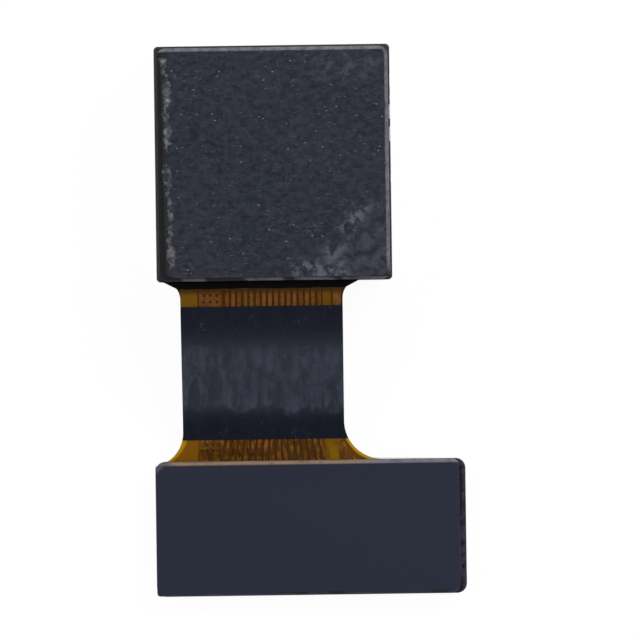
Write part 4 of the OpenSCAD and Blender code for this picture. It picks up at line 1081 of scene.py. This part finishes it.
# the barrel's profile: a grooved entrance cone, a bore that widens at each lens, and outside the
# nose, a shoulder and a fine thread; four slots in the nose's rim are for the tool that turns it
def makeBarrel(v):
    front, rear, barrel, nose = v["front"], v["rear"], v["barrel"], v["nose"]
    entrance, mouth = v["entrance"], v["entrance"] + v["flare"]
    cone = [(mouth - v["flare"] * t - v["grooveDeep"] * (k % 2), front + 0.03 + (v["wall"] - 0.05) * t)
            for k, t in enumerate(np.linspace(0, 1, 2 * v["grooves"] + 1))]
    bore = [(entrance, front + v["wall"])]
    for i in range(5):
        r = lensRadius(i) + v["fit"]
        bore += [(r, lensFront(i)), (r, lensFront(i + 1) if i < 4 else rear - 0.03)]
    shoulder, turns = front + v["noseLong"], 2 * v["thread"]
    low, high = v["faceGroove"]
    outer = [(v["last"] + 0.04, rear), (barrel - 0.05, rear), (barrel - 0.01, rear - 0.04)]
    outer += [(barrel - 0.002 - v["threadDeep"] * (k % 2), rear - 0.08 - (rear - shoulder - 0.4) * k / turns)
              for k in range(turns)]
    outer += [(barrel, shoulder + 0.28), (barrel, shoulder + 0.04), (barrel - 0.04, shoulder),
              (nose, shoulder), (nose, front + 0.07), (nose - 0.02, front + 0.02), (nose - 0.07, front),
              (high, front), (high - 0.04, front + 0.02), (low + 0.04, front + 0.02), (low, front),
              (mouth + 0.03, front)]

    def slots(a, radius, z):
        away = np.abs(a % (np.pi / 2) - np.pi / 4)
        deep = v["slotDeep"] if z < front + 0.14 and radius > nose - 0.1 else 0.0
        return deep * np.clip((v["slotHalf"] - away) / 0.012, 0, 1)
    turned("lensBarrel", cone + bore + outer, finishes["lensBlack"], body="lens", around=192, slots=slots,
           sharp=30, stands=["lens_barrel"], slot="lens_black")


# a lens: a flat rim with a cap on each side; a cap of height s and radius c is part of a sphere with
# the radius (c * c + s * s) / (2 * s), hollow where its share is negative
def makeLenses(v):
    for i in range(5):
        r, front = lensRadius(i), lensFront(i)
        rear = front + v["rim"]
        before = lensRadius(i - 1) - v["rimWidth"] if i else v["entrance"] - v["fit"]
        sides = []
        for share, reach, level, out in ((v["frontShare"][i], before, front, -1),
                                         (v["rearShare"][i], r - v["rimWidth"], rear, 1)):
            rho = reach * np.concatenate([[0.012], np.linspace(0.06, 1, 18)])
            high = abs(share) * v["sag"]
            ball = (reach ** 2 + high ** 2) / (2 * high)
            rise = np.sign(share) * (high - (ball - np.sqrt(ball ** 2 - rho ** 2)))
            sides.append(np.column_stack([rho, level + out * rise]))
        rim = [(r - 0.02, front), (r, front + 0.02), (r, rear - 0.02), (r - 0.02, rear)]
        number = str(i + 1)
        turned("lens" + number, np.concatenate([sides[0], rim, sides[1][::-1]]), finishes["lensGlass"],
               body="lens", around=96, closed=False, sharp=25, stands=["lens_" + number], slot="lens_glass")
    outside, low, high = v["last"] - 0.006, v["ring"], v["ring"] + v["ringThick"]
    inside = outside - v["ringWide"]
    profile = softened([(outside, low), (outside, high), (inside, high), (inside, low)], 0.03)
    turned("retainingRing", profile, finishes["lensBlack"], body="lens", stands=["retaining_ring"],
           slot="lens_black")


spring = dict(frameOut=4.05, frameIn=3.78, corner=0.35, ringIn=3.03, ringOut=3.3, armFrom=3.98, arm=3.54,
              armTo=3.16, armWidth=0.08, first=15, last=75, thick=0.04, slit=0.15, front=0.55, rear=2.55)


# a leaf spring: its outer frame stays with the motor, its inner ring goes with the lens, and each of
# its four arms runs between them; the rear one is parted by a slit into two halves
def makeSpring(name, node, low, parted, v):
    high, copper = low + v["thick"], finishes["springCopper"]
    more = dict(stands=[node], slot="spring_copper")
    square = roundedOutline(v["frameOut"] - 0.003, v["frameOut"] - 0.003, v["corner"])
    inner = roundedOutline(v["frameIn"], v["frameIn"], 0.05)
    a = np.linspace(0, 2 * np.pi, 160, endpoint=False)
    circle = np.column_stack([np.cos(a), np.sin(a)])
    lines = dict(Frame=(square, inner, "module"), Ring=(v["ringOut"] * circle, v["ringIn"] * circle, "lens"))
    for part, (outerLine, innerLine, rider) in lines.items():
        if not parted:
            strip(name + part, outerLine, innerLine, low, high, copper, closed=True, body=rider, **more)
            continue
        x, y = outerLine.T
        shift = int(np.argmax(x - 9 * np.abs(y) - 90 * (y < 0)))
        for half, sign in (("Upper", 1), ("Lower", -1)):
            halves = []
            for line in (outerLine, innerLine):
                line = np.roll(line, -shift, 0)[:len(line) // 2]
                halves.append(np.column_stack([line[:, 0], sign * np.maximum(line[:, 1], v["slit"] / 2)]))
            strip(name + part + half, *halves, low, high, copper, body=rider, **more)

    # an arm: out of the frame, along an arc and into the ring, smoothed by averaging its neighbours
    for q in range(4):
        arc = np.radians(np.linspace(v["last"], v["first"], 60)) + q * np.pi / 2
        radii = np.concatenate([np.linspace(v["armFrom"], v["arm"], 12, endpoint=False),
                                np.full(60, v["arm"]), np.linspace(v["arm"], v["armTo"], 12)[1:]])
        angles = np.concatenate([np.full(12, arc[0]), arc, np.full(11, arc[-1])])
        path = np.column_stack([radii * np.cos(angles), radii * np.sin(angles)])
        for _ in range(6):
            path[1:-1] = path[1:-1] * 0.5 + (path[:-2] + path[2:]) * 0.25
        along = np.gradient(path, axis=0)
        along /= np.linalg.norm(along, axis=1, keepdims=True)
        side = np.stack([along[:, 1], -along[:, 0]], 1) * v["armWidth"] / 2
        arm = strip(name + "Arm" + str(q + 1), path + side, path - side, low + 0.001, high - 0.001, copper,
                    body=None, **more)
        middle = (low + high) / 2
        start, end = ((*(point * mm), middle * mm) for point in (path[0], path[-1]))
        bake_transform(arm)


coil = dict(half=3.62, corner=3.82, inside=3.3, insideCorner=3.5, low=0.79, high=2.35, turns=30, soft=0.3,
            ridge=((0.0, 0.016), (0.3, 0.003), (0.7, 0.003), (1.0, 0.016)))


# eight corners of a square cut by a turned square: x is the half width, y = corner * sqrt(2) - x
def octagon(half, corner, soft):
    other = corner * math.sqrt(2) - half
    corners = [(half, -other), (half, other), (other, half), (-other, half), (-half, other), (-half, -other),
               (-other, -half), (other, -half)]
    return softened(corners, soft, steps=5)


# the coil: turns of wire, each a ridge round the octagon
def makeCoil(v):
    outline = octagon(v["half"] - 0.002, v["corner"] - 0.002, v["soft"])
    normal = outward(outline)
    inside = octagon(v["inside"], v["insideCorner"], v["soft"])
    pitch = (v["high"] - v["low"]) / v["turns"]
    ridges = [(k + share, deep) for k in range(v["turns"]) for share, deep in v["ridge"]
              if share < 1.0 or k == v["turns"] - 1]
    rings = [atHeight(outline - normal * deep, v["low"] + pitch * at) for at, deep in ridges]
    stack("coilWinding", [atHeight(inside, v["low"]), *rings, atHeight(inside, v["high"])],
          finishes["coilCopper"], closed=True, body="lens", sharp=80, stands=["coil"], slot="coil_copper")


sensor = dict(halfX=2.8, halfY=2.35, low=4.18, high=4.38, filterX=2.95, filterY=2.5, filterLow=3.781,
              filterHigh=3.989, wires=16, pitch=0.25, wire=0.028,
              wirePath=((2.615, 4.185), (2.62, 4.07), (2.8, 4.055), (3.0, 4.12), (3.165, 4.4)))


# copies in a row, evenly spaced about the middle, on both sides of it
def rowOf(count, pitch):
    row = (np.arange(count) - (count - 1) / 2) * pitch
    return [(side, place) for side in (1, -1) for place in row]


# the sensor and the filter are thin slabs with broken edges; each bond wire is one soft loop
def makeSensor(v):
    stack("imageSensor", bevelled(v["halfX"], v["halfY"], 0.03, v["low"], v["high"], 0.008, 0.0, steps=2),
          finishes["silicon"], stands=["image_sensor"], slot="silicon")
    stack("irFilter", bevelled(v["filterX"], v["filterY"], 0.04, v["filterLow"], v["filterHigh"], 0.02, 0.02,
                               steps=2),
          finishes["filterGlass"], stands=["ir_filter"], slot="filter_glass")
    path = softened(v["wirePath"], 0.12, steps=3, closed=False)
    places = [((0, y), (side, 0)) for side, y in rowOf(v["wires"], v["pitch"])]
    bentStrips("bondWires", path, v["wire"], v["wire"], places, finishes["goldPlate"], sharp=180,
               stands=["bond_wires"], slot="gold_plate")


plug = dict(middle=(1.195, -13.2), halfX=3.6, halfY=0.95, high=0.8, wall=0.42, end=0.7, floor=0.58,
            thick=0.07, contacts=15, pitch=0.4, wide=0.2, tail=0.28, tab=0.3, tabWide=1.1)


# the plug: outside and inside walls with rounded edges, lower where the contacts wrap round the walls;
# each contact is a strip with three bends and a solder fillet at its tail, and a tab holds each end
def makePlug(v):
    def outline(insetX, insetY, corner, level):
        line = roundedOutline(v["halfX"] - insetX, v["halfY"] - insetY, corner, side=110)
        lowered = np.clip((v["halfX"] - v["end"] + 0.015 - np.abs(line[:, 0])) / 0.03, 0, 1) * v["thick"]
        return np.column_stack([line + v["middle"], level + lowered * (level < 0.1)])
    w, e, t, high = v["wall"], v["end"], v["thick"], v["high"]
    rings = [(0.0, 0.0, 0.1, high), (0.0, 0.0, 0.1, 0.1), (0.0, 0.0, 0.1, 0.04), (0.015, 0.015, 0.09, 0.012),
             (0.05, 0.05, 0.07, 0.0), (e - 0.05, w - 0.05, 0.05, 0.0), (e - 0.015, w - 0.015, 0.05, 0.012),
             (e, w, 0.05, 0.04), (e, w, 0.05, 0.1), (e, w, 0.05, v["floor"])]
    stack("plugHousing", [outline(*one) for one in rings], finishes["plugMoulding"], stands=["plug_housing"],
          slot="plug_moulding")

    outer, inner, top = v["halfY"] + t / 2, v["halfY"] - w - t / 2, high - t / 2
    tail = outer + t / 2 + v["tail"]
    path = softened([(tail, top), (outer, top), (outer, t / 2), (inner, t / 2), (inner, v["floor"])], 0.09,
                    steps=4, closed=False)
    middleX, middleY = v["middle"]
    places = [((middleX + x, middleY), (0, side)) for side, x in rowOf(v["contacts"], v["pitch"])]
    bentStrips("plugContacts", path, t - 0.004, v["wide"], places, finishes["goldPlate"],
               stands=["plug_contacts"], slot="gold_plate")
    path = [(tail - 0.01, high - 0.062), (tail + 0.02, high - 0.032), (tail + 0.052, high - 0.012)]
    bentStrips("contactSolder", path, 0.024, v["wide"] - 0.02, places, finishes["solderTin"], sharp=60,
               slot="solder")
    out = v["halfX"] + t / 2
    path = softened([(out, high / 4), (out, top), (v["halfX"] + v["tab"], top)], 0.08, steps=4, closed=False)
    bentStrips("plugTabs", path, t - 0.004, v["tabWide"], [(v["middle"], (side, 0)) for side in (1, -1)],
               finishes["tabSteel"], stands=["plug_tabs"], slot="tab_steel")


window = dict(right=5.245, left=-2.855, top=-11.75, bottom=-14.65, across=41, shieldAcross=80, shieldSteps=90)


# the ribbon's front layers: clear coverlay with a window round the plug, and the shielding film with
# faint creases, a product of two sines; a column and a row of points run along each of the window's edges
def makeRibbonFront(v, r=ribbon):
    width = r["padRight"] - r["padLeft"]
    right, left = ((r["padRight"] - v[side]) / width for side in ("right", "left"))
    across = np.sort(np.concatenate([np.linspace(0, 1, v["across"]), [right, left]]))
    across = across[np.concatenate([[True], np.diff(across) > 1e-6])]
    padFrom, padTo = r["padTop"] - r["corner"], r["padBottom"] + r["corner"]
    stations = spaced((r["boardEdge"], r["slopeFrom"], 40), (r["slopeFrom"], r["slopeTo"], 10),
                      (r["slopeTo"], r["padTop"], 44), (r["padTop"] - 0.004, padFrom, 12),
                      (padFrom, v["top"], 3), (v["top"], v["bottom"], 4), (v["bottom"], padTo, 3),
                      (padTo, r["padBottom"] + 0.001, 12))
    hole = [int(np.argmin(np.abs(line - edge))) for line, edge in (
        (across, right), (across, left), (stations, v["top"]), (stations, v["bottom"]))]
    under = -r["core"] - r["coverlay"]
    ribbonLayer("frontCoverlay", stations, across, under, -r["core"] - 0.0005, finishes["coverlay"],
                window=hole, stands=["front_coverlay"], slot="amber_coverlay")

    def creases(x, y):
        onBend = np.exp(-((y - r["creaseAt"]) / 1.3) ** 4)
        return -0.003 * onBend * (1 + np.sin(x * 5.1 + 0.3 * y) * np.cos(x * 2.3 - 0.5))
    ribbonLayer("frontShield", spaced((r["shieldFrom"], r["shieldTo"], v["shieldSteps"])),
                np.linspace(0, 1, v["shieldAcross"]), under - r["shield"] + 0.006, under,
                finishes["shieldFilm"], under=creases, stands=["front_shield_film"], slot="shield_film")


makeCan(can)
makeBase(base)
makeBarrel(lens)
makeLenses(lens)
makeSpring("frontSpring", "front_spring", spring["front"], False, spring)
makeSpring("rearSpring", "rear_spring", spring["rear"], True, spring)
makeCoil(coil)
makeSensor(sensor)
makePlug(plug)
makeRibbonFront(window)
print("front and inside made")
makePlate(plate)
makeResidue(residue)
makeBead(bead)
makeHolder(holder)
makeBoard(board)
makeStiffener(pad)
makeRibbon(flex)
print("rear side made")

# finishes of the pieces whose shape is already right in the part
kept = dict(front_spacer="blackMoulding", magnets="magnetNickel", motor_terminals="goldPlate",
            terminal_solder="solderTin", motor_glue="darkGlue", holder_glue="darkGlue",
            sensor_glue="darkGlue", capacitors="chip", driver_chip="plugMoulding", flex_core="core",
            copper_traces="copper", plate_glue="darkGlue", stiffener_glue="darkGlue",
            solder_lands="goldPlate", lens_baffles="lensBlack", lens_carrier="blackMoulding")
for node, finish in kept.items():
    for slot in nodes[node].material_slots:
        slot.material = finishes[finish].material
